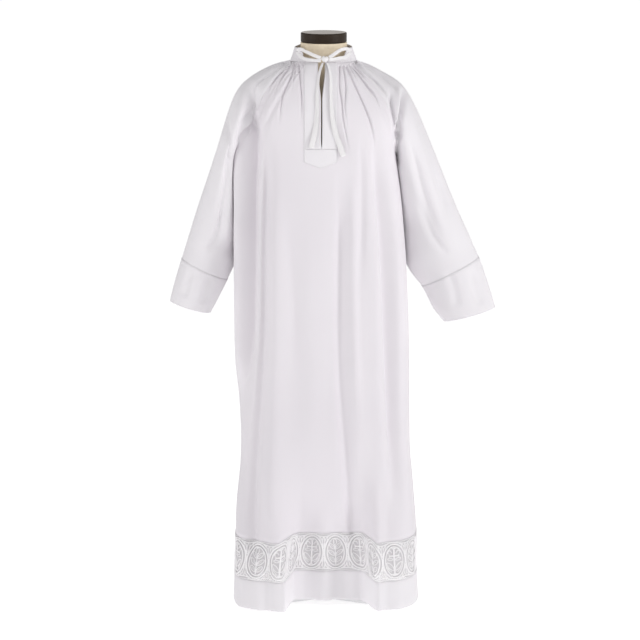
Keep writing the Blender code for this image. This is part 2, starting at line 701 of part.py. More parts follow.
# ---------------------------------------------------------------- the dress form
def build_torso(material, parts):
    work = bmesh.new()
    rings = []
    for k, z in enumerate(TORSO["z"]):
        half_x, half_y = TORSO["half_x"][k], TORSO["half_y"][k]
        ring = []
        for n in range(TORSO_COLUMNS):
            turn = math.tau * n / TORSO_COLUMNS
            ring.append(work.verts.new((half_x * math.sin(turn), -half_y * math.cos(turn), z)))
        rings.append(ring)
    for upper, lower in zip(rings, rings[1:]):
        for n in range(TORSO_COLUMNS):
            m = (n + 1) % TORSO_COLUMNS
            work.faces.new((upper[n], lower[n], lower[m], upper[m]))
    work.faces.new(rings[0])
    work.faces.new(reversed(rings[-1]))
    bmesh.ops.recalc_face_normals(work, faces=work.faces)
    mesh = bpy.data.meshes.new("form_torso")
    work.to_mesh(mesh)
    work.free()
    item = add_mesh("form_torso", mesh, material, parts)
    item.data.set_sharp_from_angle(angle=math.radians(50.0))


def build_turned(name, profile, material, parts, steps=48):
    """A solid of revolution from a profile that runs down its outer side."""
    work = bmesh.new()
    verts = [work.verts.new((radius, 0.0, z)) for radius, z in profile]
    for a, b in zip(verts, verts[1:]):
        work.edges.new((a, b))
    mesh = bpy.data.meshes.new(name)
    work.to_mesh(mesh)
    work.free()
    item = add_mesh(name, mesh, material, parts)
    screw = item.modifiers.new("turn", "SCREW")
    screw.steps = steps
    screw.render_steps = steps
    screw.use_merge_vertices = True
    screw.merge_threshold = 0.00001
    screw.use_smooth_shade = True


def build_cap(material, parts):
    low = CAP_TOP - CAP_HEIGHT + FORM_GAP
    inner = CAP_RADIUS - CAP_EDGE
    build_turned("form_neck_cap", (
        (0.0, CAP_TOP), (inner, CAP_TOP), (CAP_RADIUS, CAP_TOP - CAP_EDGE),
        (CAP_RADIUS, low + CAP_EDGE), (inner, low), (0.0, low)), material, parts)


def build_stand(material, parts):
    top = TORSO_BOTTOM_Z - FORM_GAP
    foot = (0.0, BAR_SIZE[2] + FORM_GAP)
    profile = ((0.0, top), (POLE_RADIUS, top)) + POLE_FLARE + (foot,)
    build_turned("form_pole", profile, material, parts, steps=32)
    build_foot(material, parts)


def build_foot(material, parts):
    """Two flat bars that cross under a round hub, made as one solid."""
    bpy.ops.mesh.primitive_cylinder_add(vertices=48, radius=HUB_RADIUS, depth=BAR_SIZE[2],
                                        location=(0.0, 0.0, BAR_SIZE[2] / 2))
    foot = bpy.context.object
    foot.name = "form_foot_cross"
    foot.data.name = "form_foot_cross"
    for owner in list(foot.users_collection):
        owner.objects.unlink(foot)
    parts.objects.link(foot)
    foot.data.materials.append(material)
    cutters = bpy.data.collections.new("foot_bars")
    bpy.context.scene.collection.children.link(cutters)
    for name, angle in (("bar_a", BAR_ANGLE), ("bar_b", -BAR_ANGLE)):
        bpy.ops.mesh.primitive_cube_add(size=1.0, location=(0.0, 0.0, BAR_SIZE[2] / 2))
        bar = bpy.context.object
        bar.name = name
        bar.scale = BAR_SIZE
        bar.rotation_euler = (0.0, 0.0, math.radians(angle))
        bpy.ops.object.transform_apply(location=False, rotation=True, scale=True)
        for owner in list(bar.users_collection):
            owner.objects.unlink(bar)
        cutters.objects.link(bar)
        bar.hide_render = True
        bar.display_type = "WIRE"
        join = foot.modifiers.new(name, "BOOLEAN")
        join.operation = "UNION"
        join.solver = "EXACT"
        join.object = bar


# ---------------------------------------------------------------- assembly
def main():
    for item in list(bpy.data.objects):
        bpy.data.objects.remove(item, do_unlink=True)
    parts = bpy.data.collections.new("alb_robe")
    bpy.context.scene.collection.children.link(parts)
    look = {name: make_material(name) for name in MATERIALS}

    build_torso(look["form_linen"], parts)
    build_cap(look["cap_wood"], parts)
    build_stand(look["stand_steel"], parts)

    left, right = build_front(look["alb_cloth"], parts)
    build_back(look["alb_cloth"], parts)
    build_sleeve("sleeve_left", SLEEVE_LEFT, 1, look["alb_cloth"], parts)
    build_sleeve("sleeve_right", SLEEVE_RIGHT, -1, look["alb_cloth"], parts)
    build_cuff("cuff_left", SLEEVE_LEFT, 1, look["alb_cloth"], parts)
    build_cuff("cuff_right", SLEEVE_RIGHT, -1, look["alb_cloth"], parts)
    build_collar(look["alb_cloth"], parts)
    build_placket(left, right, look["alb_cloth"], parts)
    build_patch(look["alb_cloth"], parts)
    build_ring("lace_band", LACE_TOP_Z - SEAM_GAP, LACE_BOTTOM_Z + SEAM_GAP,
               look["alb_lace"], parts)
    build_ring("hem_band", LACE_BOTTOM_Z - SEAM_GAP, HEM_Z, look["alb_cloth"], parts)
    build_ties(look["tie_tape"], parts)


main()
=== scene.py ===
"""Alb robe on a dress form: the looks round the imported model.

Units are metres, +Z is up, the robe's front faces -Y and +X is the wearer's left.
"""
import math

import bmesh
import bpy
import numpy as np
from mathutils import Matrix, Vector
from mathutils.bvhtree import BVHTree


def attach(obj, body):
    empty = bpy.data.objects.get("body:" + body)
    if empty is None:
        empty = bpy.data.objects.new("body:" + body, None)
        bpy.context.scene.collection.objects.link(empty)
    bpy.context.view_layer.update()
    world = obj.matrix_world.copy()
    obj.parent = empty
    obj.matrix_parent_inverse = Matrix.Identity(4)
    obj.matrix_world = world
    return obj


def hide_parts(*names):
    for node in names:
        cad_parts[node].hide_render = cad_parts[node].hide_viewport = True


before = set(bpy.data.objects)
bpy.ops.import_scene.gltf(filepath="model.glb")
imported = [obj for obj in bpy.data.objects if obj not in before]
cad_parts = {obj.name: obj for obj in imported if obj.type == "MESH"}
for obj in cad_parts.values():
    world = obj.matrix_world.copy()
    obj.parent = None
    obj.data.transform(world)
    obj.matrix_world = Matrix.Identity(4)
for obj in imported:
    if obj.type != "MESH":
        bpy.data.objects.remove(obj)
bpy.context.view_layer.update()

SCENE = bpy.context.scene

# ---------------------------------------------------------------- camera and stage
CAMERA_PLACE = (-0.01, -7.0, 2.206)
CAMERA_PITCH = 11.47
CAMERA_LENS = 147.4

camera = bpy.data.objects.new("camera", bpy.data.cameras.new("camera"))
camera.location = CAMERA_PLACE
camera.rotation_euler = (math.radians(90.0 - CAMERA_PITCH), 0.0, 0.0)
camera.data.lens = CAMERA_LENS
camera.data.clip_end = 200.0
SCENE.collection.objects.link(camera)
SCENE.camera = camera


FLOOR_REACH = 60.0
FLOOR_GLOW = 0.72
WORLD_STRENGTH = 0.32
LIGHTS = (
    # name, place, aim, width, height, power, colour
    ("key", (3.4, -2.0, 2.3), (0.0, 0.0, 0.95), 1.0, 2.4, 60.0, (1.0, 0.995, 1.0)),
    ("fill", (-3.4, -1.8, 2.2), (0.0, 0.0, 0.9), 1.0, 2.4, 32.0, (1.0, 0.99, 1.0)),
    ("top", (0.0, -1.0, 4.0), (0.0, 0.0, 1.0), 2.4, 1.2, 16.0, (1.0, 1.0, 1.0)),
)


def set_inputs(node, **values):
    """Sets a node's inputs; an underscore stands for the space in an input's name."""
    for name, value in values.items():
        node.inputs[name.replace("_", " ")].default_value = value


def new_material(name):
    material = bpy.data.materials.new(name)
    material.use_nodes = True
    tree = material.node_tree
    return material, tree, tree.nodes["Principled BSDF"]


def build_stage():
    mesh = bpy.data.meshes.new("floor")
    corners = [(x * FLOOR_REACH, y * FLOOR_REACH, 0.0)
               for x, y in ((-1, -1), (1, -1), (1, 1), (-1, 1))]
    mesh.from_pydata(corners, [], [(0, 1, 2, 3)])
    floor = bpy.data.objects.new("floor", mesh)
    SCENE.collection.objects.link(floor)
    material, _, shader = new_material("stage_floor")
    set_inputs(shader, Base_Color=(0.93, 0.93, 0.93, 1.0), Roughness=1.0,
               Specular_IOR_Level=0.0, Emission_Color=(1.0, 1.0, 1.0, 1.0),
               Emission_Strength=FLOOR_GLOW)
    mesh.materials.append(material)


def build_lights():
    for name, place, aim, width, height, power, colour in LIGHTS:
        light = bpy.data.lights.new(name, "AREA")
        light.shape = "RECTANGLE"
        light.size = width
        light.size_y = height
        light.energy = power
        light.color = colour
        item = bpy.data.objects.new(name, light)
        item.location = place
        look = Vector(aim) - Vector(place)
        item.rotation_euler = look.to_track_quat("-Z", "Y").to_euler()
        SCENE.collection.objects.link(item)
    world = bpy.data.worlds.new("studio")
    world.use_nodes = True
    set_inputs(world.node_tree.nodes["Background"], Color=(1.0, 0.995, 1.0, 1.0),
               Strength=WORLD_STRENGTH)
    SCENE.world = world
    SCENE.view_settings.view_transform = "Standard"


build_stage()
build_lights()

# ---------------------------------------------------------------- the robe's own sizes
WALL = 0.0009
DOUBLE_WALL = 0.0016
HEM_WALL = 0.0013
PLACKET_WALL = 0.0007
TIE_WALL = 0.0011
SEAM_GAP = 0.0001
NECKLINE_RADIUS = 0.088
NECKLINE_FRONT_Z = 1.498
NECKLINE_SIDE_Z = 1.494
NECKLINE_BACK_Z = 1.502
COLLAR_TOP_RADIUS = 0.077
COLLAR_HEIGHT = 0.036
BINDING_HEIGHT = 0.006
BINDING_END = 0.006
OPEN_FROM_ANGLE = 34.0
OPEN_TO_ANGLE = 56.0
UNDERARM_Z = 1.238
LACE_TOP_Z = 0.2165
LACE_BOTTOM_Z = 0.1045
HEM_Z = 0.018
SLIT_X = -0.006
SLIT_BOTTOM_Z = 1.274
PLACKET_LEFT_X = -0.052
PLACKET_RIGHT_X = 0.035
PATCH_SIDE_Z = 1.239
PATCH_POINT_Z = 1.223
TIE_WIDTH = 0.009
KNOT_CENTRE = (0.003, -0.0985, 1.507)

# The skirt: half widths to each side, half depths and squareness at heights.
BODY = {
    "z":      (1.238, 1.08, 0.927, 0.7, 0.56, 0.46, 0.335, 0.22, 0.106, 0.018),
    "left":   (0.196, 0.213, 0.225, 0.2335, 0.235, 0.2365, 0.247, 0.2555, 0.2575, 0.262),
    "right":  (0.243, 0.241, 0.2424, 0.2426, 0.231, 0.227, 0.2326, 0.2385, 0.245, 0.249),
    "front":  (0.146, 0.15, 0.152, 0.157, 0.162, 0.168, 0.178, 0.188, 0.197, 0.202),
    "back":   (0.142, 0.144, 0.146, 0.15, 0.154, 0.158, 0.164, 0.17, 0.175, 0.178),
    "square": (0.86, 0.84, 0.82, 0.8, 0.78, 0.74, 0.7, 0.64, 0.6, 0.58),
}
# The cape's centre lines from the neckline (0) to the underarm (1), the angle that a panel
# spans and its squareness.
CENTRE = {
    "level":   (0.0, 0.25, 0.5, 0.75, 1.0),
    "front_y": (-0.088, -0.112, -0.13, -0.141, -0.146),
    "front_z": (NECKLINE_FRONT_Z, 1.452, 1.39, 1.316, UNDERARM_Z),
    "back_y":  (0.088, 0.11, 0.127, 0.137, 0.142),
    "back_z":  (NECKLINE_BACK_Z, 1.458, 1.39, 1.316, UNDERARM_Z),
    "span":    (62.0, 66.0, 72.0, 80.0, 90.0),
    "square":  (1.0, 0.98, 0.94, 0.9, 0.86),
}
# A sleeve by level: 0 neckline, 1 underarm, 2 cuff seam, 2.5 the cuff's edge. Its outer edge,
# its width and the tilt of that width in degrees, its half depth, how far back its inner edge
# lies, and how far round from the outer edge its front and back seams are, in degrees.
SLEEVE_LEFT = {
    "level":   (0.0, 0.12, 0.25, 0.5, 0.75, 0.9, 1.0, 1.25, 1.5, 1.75, 2.0, 2.25, 2.5),
    "out_x":   (0.088, 0.1154, 0.15, 0.2066, 0.253, 0.274, 0.2898, 0.3405, 0.3903, 0.406,
                0.4209, 0.449, 0.4665),
    "out_z":   (1.494, 1.4855, 1.4685, 1.432, 1.361, 1.311, 1.2712, 1.1381, 1.0287, 0.992,
                0.96, 0.88, 0.8225),
    "width":   (0.176, 0.19, 0.19, 0.14, 0.108, 0.104, 0.0995, 0.134, 0.1765, 0.19,
                0.176, 0.164, 0.1455),
    "tilt":    (0.0, 14.0, 28.0, 45.0, 38.0, 29.0, 19.5, 15.0, 14.5, 18.0, 29.4, 23.5, 17.6),
    "depth":   (0.088, 0.1, 0.11, 0.106, 0.107, 0.103, 0.088, 0.072, 0.062, 0.056,
                0.052, 0.048, 0.044),
    "rear":    (0.0, 0.0, 0.0, 0.0, 0.0, 0.0, 0.0, 0.036, 0.046, 0.046, 0.038, 0.03, 0.024),
    "opening": (28.0, 39.0, 50.0, 85.0, 118.0, 146.0, 180.0, 180.0, 180.0, 180.0, 180.0,
                180.0, 180.0),
}
SLEEVE_RIGHT = {
    "level":   SLEEVE_LEFT["level"],
    "out_x":   (0.088, 0.117, 0.153, 0.216, 0.2565, 0.27, 0.2825, 0.3259, 0.3622, 0.373,
                0.3846, 0.405, 0.4176),
    "out_z":   (1.494, 1.4885, 1.4755, 1.436, 1.368, 1.314, 1.262, 1.1435, 1.0287, 0.994,
                0.9572, 0.89, 0.841),
    "width":   (0.176, 0.19, 0.19, 0.14, 0.09, 0.06, 0.0462, 0.0923, 0.1296, 0.1434,
                0.1388, 0.127, 0.1155),
    "tilt":    (0.0, 14.0, 28.0, 45.0, 40.0, 34.0, 31.0, 21.3, 19.7, 23.0, 27.9, 23.0, 19.2),
    "depth":   (0.088, 0.1, 0.11, 0.106, 0.107, 0.1, 0.086, 0.074, 0.067, 0.062,
                0.058, 0.054, 0.05),
    "rear":    SLEEVE_LEFT["rear"],
    "opening": SLEEVE_LEFT["opening"],
}
HOLLOW_DEPTH = 0.112
HOLLOW_LEFT_X = -0.094
HOLLOW_RIGHT_X = 0.125
HOLLOW_LEFT_TURN = 0.028
HOLLOW_RIGHT_TURN = 0.056
HOLLOW_TOP_Z = 0.56
HOLLOW_NARROW_Z = 0.06   # its left side turns sharply here and gently at the wide height
HOLLOW_WIDE_Z = 0.34
HOLLOW_GROWTH = 1.3


# ---------------------------------------------------------------- curves and arrays
def smooth_value(xs, ys, x):
    """Cubic curve through (xs, ys) at an array x, with slopes that never overshoot."""
    xs, ys = np.array(xs, float), np.array(ys, float)
    x = np.asarray(x, float)
    if xs[-1] < xs[0]:
        xs, x = -xs, -x
    x = np.clip(x, xs[0], xs[-1])
    chord = np.diff(ys) / np.diff(xs)
    slope = np.zeros(len(xs))
    slope[0], slope[-1] = chord[0], chord[-1]
    product = chord[:-1] * chord[1:]
    total = chord[:-1] + chord[1:]
    steady = product > 0.0
    slope[1:-1][steady] = 2.0 * product[steady] / total[steady]
    i = np.clip(np.searchsorted(xs, x, side="left") - 1, 0, len(xs) - 2)
    step = xs[i + 1] - xs[i]
    t = (x - xs[i]) / step
    return (ys[i] * (1 + 2 * t) * (1 - t) ** 2 + slope[i] * step * t * (1 - t) ** 2
            + ys[i + 1] * t * t * (3 - 2 * t) + slope[i + 1] * step * t * t * (t - 1))


def ease(x, low, high):
    t = np.clip((np.asarray(x, float) - low) / (high - low), 0.0, 1.0)
    return t * t * (3.0 - 2.0 * t)


def stack(*parts):
    return np.stack(np.broadcast_arrays(*parts), axis=-1)


def unit(v):
    return v / np.maximum(np.linalg.norm(v, axis=-1, keepdims=True), 1e-12)


def grid_normals(points, closed=False):
    """Outward normals of a grid whose rows run down and columns anticlockwise from above."""
    if closed:
        across = np.roll(points, -1, 1) - np.roll(points, 1, 1)
    else:
        across = np.gradient(points, axis=1)
    down = np.gradient(points, axis=0)
    return unit(np.cross(down, across))


def spline(points, count):
    """Evenly indexed points on a smooth curve through the given ones."""
    points = np.array(points, float)
    at = np.linspace(0.0, len(points) - 1, count)
    i = np.minimum(at.astype(int), len(points) - 2)
    t = (at - i)[:, None]
    a = points[np.maximum(i - 1, 0)]
    b, c = points[i], points[i + 1]
    d = points[np.minimum(i + 2, len(points) - 1)]
    return 0.5 * (2 * b + (c - a) * t + (2 * a - 5 * b + 4 * c - d) * t * t
                  + (3 * b - a - 3 * c + d) * t ** 3)


# ---------------------------------------------------------------- the robe's surfaces
def body_base(angle, z):
    """Skirt points at girth angles in degrees and heights below the underarm."""
    angle, z = np.broadcast_arrays(np.asarray(angle, float), np.asarray(z, float))
    sin, cos = np.sin(np.radians(angle)), np.cos(np.radians(angle))
    half_width = np.where(sin >= 0.0, smooth_value(BODY["z"], BODY["left"], z),
                          smooth_value(BODY["z"], BODY["right"], z))
    half_depth = np.where(cos >= 0.0, smooth_value(BODY["z"], BODY["front"], z),
                          smooth_value(BODY["z"], BODY["back"], z))
    power = smooth_value(BODY["z"], BODY["square"], z)
    across = np.sign(sin) * np.abs(sin) ** power
    along = -np.sign(cos) * np.abs(cos) ** power
    return stack(half_width * across, half_depth * along, z)


def hollow_offset(x, z):
    """How far the front goes back between the skirt's two lobes."""
    strength = ease(-z, -HOLLOW_TOP_Z, -HEM_Z) ** HOLLOW_GROWTH
    half = HOLLOW_LEFT_TURN * (0.5 + ease(z, HOLLOW_NARROW_Z, HOLLOW_WIDE_Z))
    left = ease(x, HOLLOW_LEFT_X - half, HOLLOW_LEFT_X + half)
    right = ease(-x, -HOLLOW_RIGHT_X - HOLLOW_RIGHT_TURN / 2,
                 -HOLLOW_RIGHT_X + HOLLOW_RIGHT_TURN / 2)
    return HOLLOW_DEPTH * strength * left * right


def sleeve_base(table, side, level, share):
    """Sleeve points; share runs from -1 at the front seam to 1 at the back seam."""
    level, share = np.broadcast_arrays(np.asarray(level, float), np.asarray(share, float))
    part = {name: smooth_value(table["level"], table[name], level)
            for name in table if name != "level"}
    half = part["width"] / 2
    tilt = np.radians(part["tilt"])
    turn = np.radians(part["opening"]) * share
    x = part["out_x"] + np.cos(tilt) * half * (np.cos(turn) - 1.0)
    z = part["out_z"] + np.sin(tilt) * half * (np.cos(turn) - 1.0)
    y = part["depth"] * np.sin(turn) + part["rear"] * (1.0 - np.cos(turn)) / 2
    return stack(side * x, y, z)


def cape_base(face, side, level, turn):
    """Front or back points above the underarm; turn is 0 at the centre, 1 at the seam."""
    level, turn = np.broadcast_arrays(np.asarray(level, float), np.asarray(turn, float))
    span = np.radians(smooth_value(CENTRE["level"], CENTRE["span"], level))
    power = smooth_value(CENTRE["level"], CENTRE["square"], level)
    table = SLEEVE_LEFT if side > 0 else SLEEVE_RIGHT
    edge = sleeve_base(table, side, level, -1.0 if face == "front" else 1.0)
    mid_y = smooth_value(CENTRE["level"], CENTRE[face + "_y"], level)
    mid_z = smooth_value(CENTRE["level"], CENTRE[face + "_z"], level)
    across = (np.sin(span * turn) / np.sin(span)) ** power
    inward = (np.cos(span * turn) - np.cos(span)) / (1.0 - np.cos(span))
    inward = np.maximum(inward, 0.0) ** power
    return stack(edge[..., 0] * across, edge[..., 1] + (mid_y - edge[..., 1]) * inward,
                 mid_z + (edge[..., 2] - mid_z) * (1.0 - inward))


def level_z(level):
    """Height of a skirt level: 1 underarm, 2 top of the lace, 3 hem."""
    return np.interp(level, (1.0, 2.0, 3.0), (UNDERARM_Z, LACE_TOP_Z, HEM_Z))


def panel_base(face, side, levels, turns):
    """Grid of panel points: rows by level from 0 at the neckline, columns by turn."""
    levels, turns = np.asarray(levels, float)[:, None], np.asarray(turns, float)[None, :]
    cape = cape_base(face, side, np.minimum(levels, 1.0), turns)
    z = level_z(levels)
    angle = 90.0 * turns if face == "front" else 180.0 - 90.0 * turns
    skirt = body_base(side * angle, z)
    return np.where(levels[..., None] >= 1.0, skirt, cape)


# ---------------------------------------------------------------- folds
# Each fold is a soft trough (negative depth) or ridge seen from its own face: the line of
# its middle as (x, z) from the top down, then how wide it is on its lower-x and higher-x
# sides, its depth, and how much of its length it takes to fade in and out.
FRONT_FOLDS = (
    # wearer's right side (x < 0)
    (((-0.18, 1.446), (-0.199, 1.39), (-0.204, 1.27), (-0.209, 1.15), (-0.211, 0.98),
      (-0.216, 0.82), (-0.222, 0.64), (-0.224, 0.47)), 0.014, 0.027, -0.027, 0.06, 0.35),
    (((-0.152, 1.33), (-0.156, 1.16), (-0.162, 0.98), (-0.164, 0.8), (-0.178, 0.6),
      (-0.193, 0.4), (-0.199, 0.24), (-0.202, 0.1)), 0.009, 0.019, -0.011, 0.15, 0.1),
    (((-0.226, 1.18), (-0.23, 1.05), (-0.232, 0.9), (-0.233, 0.7), (-0.23, 0.56)),
     0.009, 0.008, 0.006, 0.3, 0.3),
    (((-0.132, 1.25), (-0.126, 1.05), (-0.124, 0.8), (-0.13, 0.55), (-0.14, 0.33),
      (-0.146, 0.15)), 0.022, 0.03, 0.0075, 0.25, 0.2),
    (((-0.105, 1.13), (-0.092, 0.98), (-0.08, 0.78), (-0.084, 0.62)),
     0.014, 0.016, -0.0028, 0.35, 0.4),
    # centre
    (((-0.04, 1.15), (-0.034, 0.9), (-0.03, 0.65), (-0.036, 0.4)),
     0.03, 0.034, 0.0035, 0.35, 0.3),
    (((0.02, 1.19), (0.024, 0.95), (0.02, 0.7), (0.01, 0.45)),
     0.016, 0.02, -0.0022, 0.3, 0.4),
    # wearer's left side (x > 0)
    (((0.042, 1.25), (0.043, 1.13), (0.042, 0.98), (0.041, 0.8), (0.045, 0.64),
      (0.056, 0.48), (0.068, 0.33), (0.082, 0.2), (0.09, 0.1)),
     0.012, 0.022, -0.01, 0.22, 0.15),
    (((0.076, 1.26), (0.078, 1.05), (0.08, 0.86), (0.088, 0.64), (0.104, 0.42)),
     0.013, 0.012, 0.0055, 0.25, 0.35),
    (((0.098, 1.33), (0.103, 1.2), (0.101, 1.02), (0.097, 0.86)),
     0.01, 0.012, -0.004, 0.25, 0.4),
    (((0.13, 1.33), (0.144, 1.2), (0.158, 1.05), (0.168, 0.86), (0.178, 0.65),
      (0.189, 0.45), (0.197, 0.26)), 0.014, 0.024, -0.015, 0.18, 0.25),
    (((0.17, 1.23), (0.19, 1.06), (0.2, 0.88), (0.205, 0.64), (0.214, 0.4),
      (0.222, 0.2)), 0.012, 0.012, 0.006, 0.25, 0.25),
    (((0.128, 1.13), (0.137, 0.96), (0.142, 0.74), (0.15, 0.52), (0.16, 0.3)),
     0.016, 0.016, 0.0045, 0.3, 0.3),
    # the lobes of the skirt
    (((-0.232, 0.42), (-0.225, 0.25), (-0.222, 0.018)), 0.016, 0.016, 0.006, 0.45, 0.02),
    (((-0.168, 0.36), (-0.16, 0.2), (-0.156, 0.018)), 0.02, 0.018, -0.006, 0.45, 0.02),
    (((0.172, 0.42), (0.178, 0.24), (0.176, 0.018)), 0.022, 0.02, -0.0065, 0.45, 0.02),
    (((0.04, 0.33), (0.048, 0.018)), 0.026, 0.022, -0.007, 0.6, 0.02),
    (((-0.04, 0.33), (-0.05, 0.018)), 0.024, 0.028, -0.006, 0.6, 0.02),
    (((0.0, 0.33), (0.002, 0.018)), 0.022, 0.02, 0.0055, 0.6, 0.02),
    # the notch and the deep crease between the body and the wearer's left sleeve
    (((0.176, 1.432), (0.182, 1.385), (0.189, 1.345), (0.193, 1.285)),
     0.007, 0.004, -0.0095, 0.3, 0.15),
    (((0.213, 1.43), (0.207, 1.39), (0.2, 1.345), (0.194, 1.285)),
     0.004, 0.009, -0.0135, 0.25, 0.1),
    (((0.196, 1.44), (0.196, 1.39), (0.195, 1.33)), 0.006, 0.006, 0.005, 0.3, 0.4),
    # the same on the wearer's right
    (((-0.264, 1.35), (-0.258, 1.31), (-0.251, 1.27), (-0.244, 1.235)),
     0.008, 0.007, -0.005, 0.4, 0.1),
)
# The chief gathers in front, the same way: lines from the neckline, width, depth and fade.
FRONT_GATHERS = (
    (((-0.068, 1.495), (-0.062, 1.448), (-0.058, 1.394), (-0.062, 1.339)), 0.0026, 0.005, 0.45),
    (((-0.074, 1.495), (-0.079, 1.456), (-0.087, 1.417)), 0.0017, 0.0028, 0.7),
    (((-0.078, 1.495), (-0.089, 1.456), (-0.107, 1.417), (-0.115, 1.37), (-0.121, 1.316)),
     0.0026, 0.0052, 0.6),
    (((-0.085, 1.495), (-0.107, 1.464), (-0.126, 1.429), (-0.134, 1.394)), 0.0022, 0.0042, 0.6),
    (((-0.091, 1.495), (-0.118, 1.467), (-0.142, 1.436), (-0.147, 1.402)), 0.0023, 0.0044, 0.6),
    (((-0.097, 1.495), (-0.134, 1.471), (-0.168, 1.448), (-0.188, 1.429), (-0.194, 1.394)),
     0.0026, 0.0048, 0.3),
    (((-0.104, 1.497), (-0.146, 1.48), (-0.184, 1.458), (-0.212, 1.43)), 0.0022, 0.0036, 0.6),
    (((0.042, 1.491), (0.042, 1.436), (0.048, 1.394), (0.05, 1.359), (0.06, 1.3),
      (0.068, 1.261)), 0.0024, 0.005, 0.5),
    (((0.051, 1.491), (0.058, 1.436), (0.056, 1.378), (0.064, 1.316)), 0.0022, 0.0044, 0.55),
    (((0.059, 1.491), (0.087, 1.429), (0.11, 1.378), (0.126, 1.332), (0.138, 1.261)),
     0.0028, 0.0052, 0.4),
    (((0.065, 1.493), (0.088, 1.452), (0.102, 1.425)), 0.0017, 0.003, 0.7),
    (((0.071, 1.493), (0.11, 1.444), (0.137, 1.409), (0.153, 1.362)), 0.0024, 0.0066, 0.6),
    (((0.077, 1.494), (0.112, 1.456), (0.134, 1.434)), 0.0018, 0.0044, 0.7),
    (((0.083, 1.495), (0.133, 1.452), (0.164, 1.417), (0.18, 1.394)), 0.0023, 0.0066, 0.5),
    (((0.094, 1.496), (0.152, 1.46), (0.191, 1.425), (0.203, 1.394)), 0.0024, 0.0068, 0.5),
    (((0.102, 1.498), (0.16, 1.474), (0.206, 1.436), (0.226, 1.4)), 0.0022, 0.0056, 0.6),
)
BACK_FOLDS = (
    (((0.052, 1.4), (0.05, 1.15), (0.042, 0.8), (0.05, 0.45), (0.056, 0.018)),
     0.016, 0.02, -0.015, 0.2, 0.02),
    (((-0.03, 1.38), (-0.034, 1.1), (-0.028, 0.75), (-0.036, 0.4), (-0.04, 0.018)),
     0.022, 0.018, -0.017, 0.2, 0.02),
    (((0.108, 1.38), (0.118, 1.1), (0.122, 0.75), (0.128, 0.4), (0.134, 0.018)),
     0.02, 0.018, -0.014, 0.22, 0.02),
    (((-0.1, 1.35), (-0.112, 1.05), (-0.11, 0.7), (-0.12, 0.35), (-0.126, 0.018)),
     0.018, 0.024, -0.015, 0.22, 0.02),
    (((0.168, 1.33), (0.184, 1.05), (0.196, 0.7), (0.206, 0.35), (0.212, 0.018)),
     0.018, 0.014, -0.013, 0.22, 0.02),
    (((-0.18, 1.38), (-0.2, 1.1), (-0.206, 0.75), (-0.202, 0.4), (-0.206, 0.018)),
     0.022, 0.014, -0.016, 0.22, 0.02),
    (((0.01, 1.2), (0.006, 0.9), (0.01, 0.5), (0.008, 0.018)),
     0.014, 0.016, 0.007, 0.3, 0.02),
    (((0.082, 1.1), (0.086, 0.8), (0.09, 0.3), (0.094, 0.018)),
     0.012, 0.014, 0.006, 0.3, 0.02),
    (((-0.07, 1.15), (-0.072, 0.8), (-0.08, 0.4), (-0.082, 0.018)),
     0.014, 0.014, 0.0065, 0.3, 0.02),
    (((-0.152, 1.12), (-0.16, 0.8), (-0.164, 0.4), (-0.166, 0.018)),
     0.014, 0.012, 0.006, 0.3, 0.02),
    (((0.224, 1.3), (0.214, 1.24), (0.206, 1.16)), 0.008, 0.01, -0.008, 0.35, 0.4),
    (((-0.25, 1.33), (-0.24, 1.25), (-0.232, 1.16)), 0.01, 0.008, -0.008, 0.35, 0.4),
)
# Sleeve folds seen from the front, with x measured on that sleeve's own side.
SLEEVE_FOLDS_LEFT = (
    (((0.235, 1.42), (0.275, 1.3), (0.318, 1.15), (0.35, 1.02)),
     0.016, 0.02, -0.0045, 0.3, 0.35),
    (((0.225, 1.33), (0.25, 1.2), (0.286, 1.08), (0.33, 0.99)),
     0.01, 0.014, -0.006, 0.3, 0.35),
    (((0.262, 1.4), (0.302, 1.27), (0.352, 1.13), (0.388, 1.02)),
     0.012, 0.012, 0.0035, 0.3, 0.35),
    (((0.252, 1.13), (0.29, 1.03), (0.345, 0.965)), 0.01, 0.01, -0.005, 0.3, 0.3),
    (((0.3, 1.21), (0.322, 1.12), (0.33, 1.06)), 0.008, 0.01, -0.0022, 0.4, 0.4),
    (((0.4, 0.94), (0.408, 0.88), (0.43, 0.83)), 0.012, 0.014, -0.003, 0.3, 0.2),
    (((0.33, 0.935), (0.352, 0.88), (0.362, 0.82)), 0.01, 0.012, -0.003, 0.3, 0.2),
)
SLEEVE_FOLDS_RIGHT = (
    (((0.24, 1.43), (0.272, 1.3), (0.3, 1.15), (0.318, 1.02)),
     0.016, 0.018, -0.005, 0.3, 0.35),
    (((0.246, 1.33), (0.252, 1.2), (0.268, 1.08), (0.292, 0.99)),
     0.01, 0.012, -0.006, 0.3, 0.35),
    (((0.262, 1.4), (0.3, 1.25), (0.332, 1.11), (0.352, 1.02)),
     0.01, 0.012, 0.0035, 0.3, 0.35),
    (((0.258, 1.11), (0.282, 1.03), (0.318, 0.975)), 0.01, 0.01, -0.0045, 0.3, 0.3),
    (((0.35, 0.94), (0.366, 0.9), (0.378, 0.85)), 0.01, 0.012, -0.003, 0.3, 0.2),
    (((0.3, 0.925), (0.316, 0.88), (0.33, 0.83)), 0.01, 0.012, -0.003, 0.3, 0.2),
)


FOLD_DEPTH = 1.55        # all folds are this much deeper than their rows say
GATHER_DEPTH = 1.25      # and the chief gathers this much
FADE_OF_GATHERS_IN = 0.02
OPEN_END = 0.05          # a fold whose fade out is shorter runs right off the cloth


def front_gathers(x, z):
    rows = tuple((line, width, width, -GATHER_DEPTH * depth / FOLD_DEPTH,
                  FADE_OF_GATHERS_IN, fade)
                 for line, width, depth, fade in FRONT_GATHERS)
    return fold_sum(x, z, rows)


